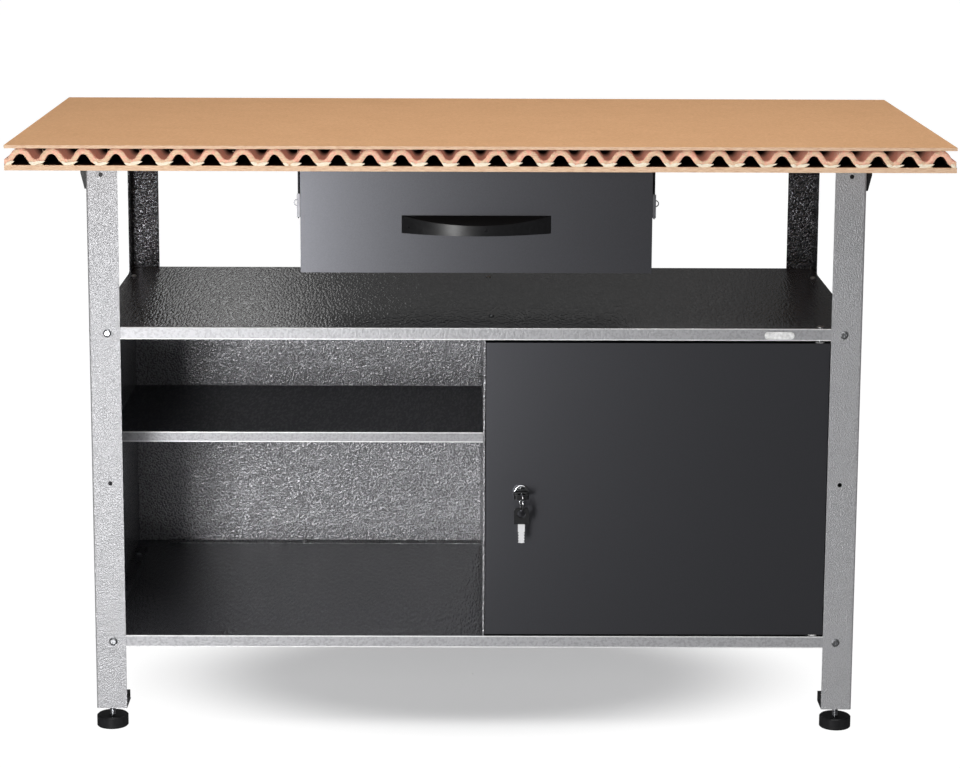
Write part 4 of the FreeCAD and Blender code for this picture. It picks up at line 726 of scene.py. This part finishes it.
# Studio: a pale paper floor under the bench and, far round it, a white wall that only the camera sees.
# A big soft light hangs over the bench, four smaller ones stand in front of it, most of them to the
# left, and two weak ones behind it put a sheen on the middle shelf.

floor_reach, wall_reach, wall_rise = 2.4, 14.0, 4.0
wall_tuck = 0.1
wall_top = 30.0
world_glow = 0.06


def bowl(name, reaches, heights):
    """Rings about the upright axis: each ring's distance and height are given."""
    around = 96
    turn = np.linspace(0, 2 * np.pi, around, endpoint=False)
    reach, height = np.array(reaches)[:, None], np.array(heights)[:, None]
    point_z = np.broadcast_to(height, (len(heights), around))
    grid = np.stack([reach * np.cos(turn), reach * np.sin(turn), point_z], -1)
    placed = bpy.data.objects.new(name, surface(name, grid, capped=False))
    bpy.context.scene.collection.objects.link(placed)
    return placed


def glowing(name, low, near, far):
    """Matt white paper with a painted glow: the glow grows from a low value under the bench, a painted
    shadow there, to full white between two distances, measured in an oval round the bench."""
    made = material(name, Roughness=0.95, Emission_Color=(1, 1, 1, 1))
    away = node(made, "VectorMath", {0: places(made, (0.6, 1, 1))}, operation="LENGTH").outputs["Value"]
    share = between(made, away, near, far)
    wire(made, "Emission Strength", spread(made, share, low, 1.0))
    wire(made, "Base Color", ramp(made, share, [(0.0, (0.9, 0.9, 0.9)), (1.0, (0.05, 0.05, 0.05))]))
    return made


paper_floor = bowl("paper_floor", [0.001, 1.0, floor_reach], [0, 0, 0])
# Painted shadow: the floor's glow is lower under the bench.
paper_floor.data.materials.append(glowing("floor_paper", low=0.30, near=0.15, far=0.31))
paper_floor.visible_glossy = False
turn_up = np.linspace(0, np.pi / 2, 9)
wall_reaches = [floor_reach - wall_tuck, *(wall_reach + wall_rise * np.sin(turn_up)), wall_reach + wall_rise]
wall_heights = [-0.001, *(wall_rise * (1 - np.cos(turn_up))), wall_top]
wall = bowl("white_wall", wall_reaches, wall_heights)
wall.data.materials.append(glowing("wall_paper", low=1.0, near=0.1, far=0.2))
wall.visible_glossy = wall.visible_diffuse = False


def softbox(name, spot, target, size, power):
    """A rectangular soft light that faces a target. Its power is in watts."""
    light = bpy.data.lights.new(name, "AREA")
    light.shape = "RECTANGLE"
    light.size, light.size_y = size
    light.energy = power
    lamp = bpy.data.objects.new(name, light)
    lamp.location = spot
    lamp.rotation_euler = (Vector(target) - Vector(spot)).to_track_quat("-Z", "Y").to_euler()
    bpy.context.scene.collection.objects.link(lamp)


softbox("top_light", (0.1, -0.5, 2.7), (0, 0.0, 0.5), size=(2.6, 1.8), power=49)
softbox("key_light", (-0.82, -2.65, 0.34), (-0.2, 0, 0.40), size=(0.45, 0.62), power=22)
softbox("low_light", (-0.62, -1.5, 0.08), (-0.3, 0.1, 0.24), size=(0.6, 0.12), power=3)
softbox("high_light", (-0.80, -3.0, 1.32), (-0.1, 0, 0.6), size=(0.4, 0.4), power=6)
softbox("fill_light", (0.3, -4.4, 1.0), (0, 0, 0.4), size=(1.6, 1.2), power=1)
softbox("rear_light", (-0.4, 3.3, 1.25), (0, 0, 0.5), size=(2.4, 0.4), power=0.32)
softbox("rear_strip", (-0.58, 3.2, 1.25), (-0.2, 0, 0.5), size=(0.32, 0.4), power=0.36)

world = bpy.data.worlds.new("studio")
world.use_nodes = True
world.node_tree.nodes["Background"].inputs["Color"].default_value = (1, 1, 1, 1)
world.node_tree.nodes["Background"].inputs["Strength"].default_value = world_glow
bpy.context.scene.world = world
bpy.context.scene.view_settings.view_transform = "Standard"


# Camera: a long lens a little above the worktop, tilted down, with a small shift for the framing.
# Its focal length and the picture's centre are in pixels of the frame, its turns in radians.

frame_wide, frame_high = 960, 768
focal_px = 2746.8
centre_px = (466.0, 318.0)
camera_spot = (-0.0317, -3.7362, 1.1932)
camera_tilt, camera_roll, camera_yaw = 0.1803, 0.00371, -0.00539

lens = bpy.data.cameras.new("camera")
lens.sensor_width = 36
lens.lens = focal_px / frame_wide * lens.sensor_width
lens.shift_x = (frame_wide / 2 - centre_px[0]) / frame_wide
lens.shift_y = (centre_px[1] - frame_high / 2) / frame_wide
camera = bpy.data.objects.new("camera", lens)
camera.location = camera_spot
turned = Euler((math.pi / 2 - camera_tilt, 0, camera_yaw), "XYZ").to_matrix()
rolled = Euler((0, 0, camera_roll), "XYZ").to_matrix()
camera.rotation_euler = (turned @ rolled).to_euler()
bpy.context.scene.collection.objects.link(camera)
bpy.context.scene.camera = camera
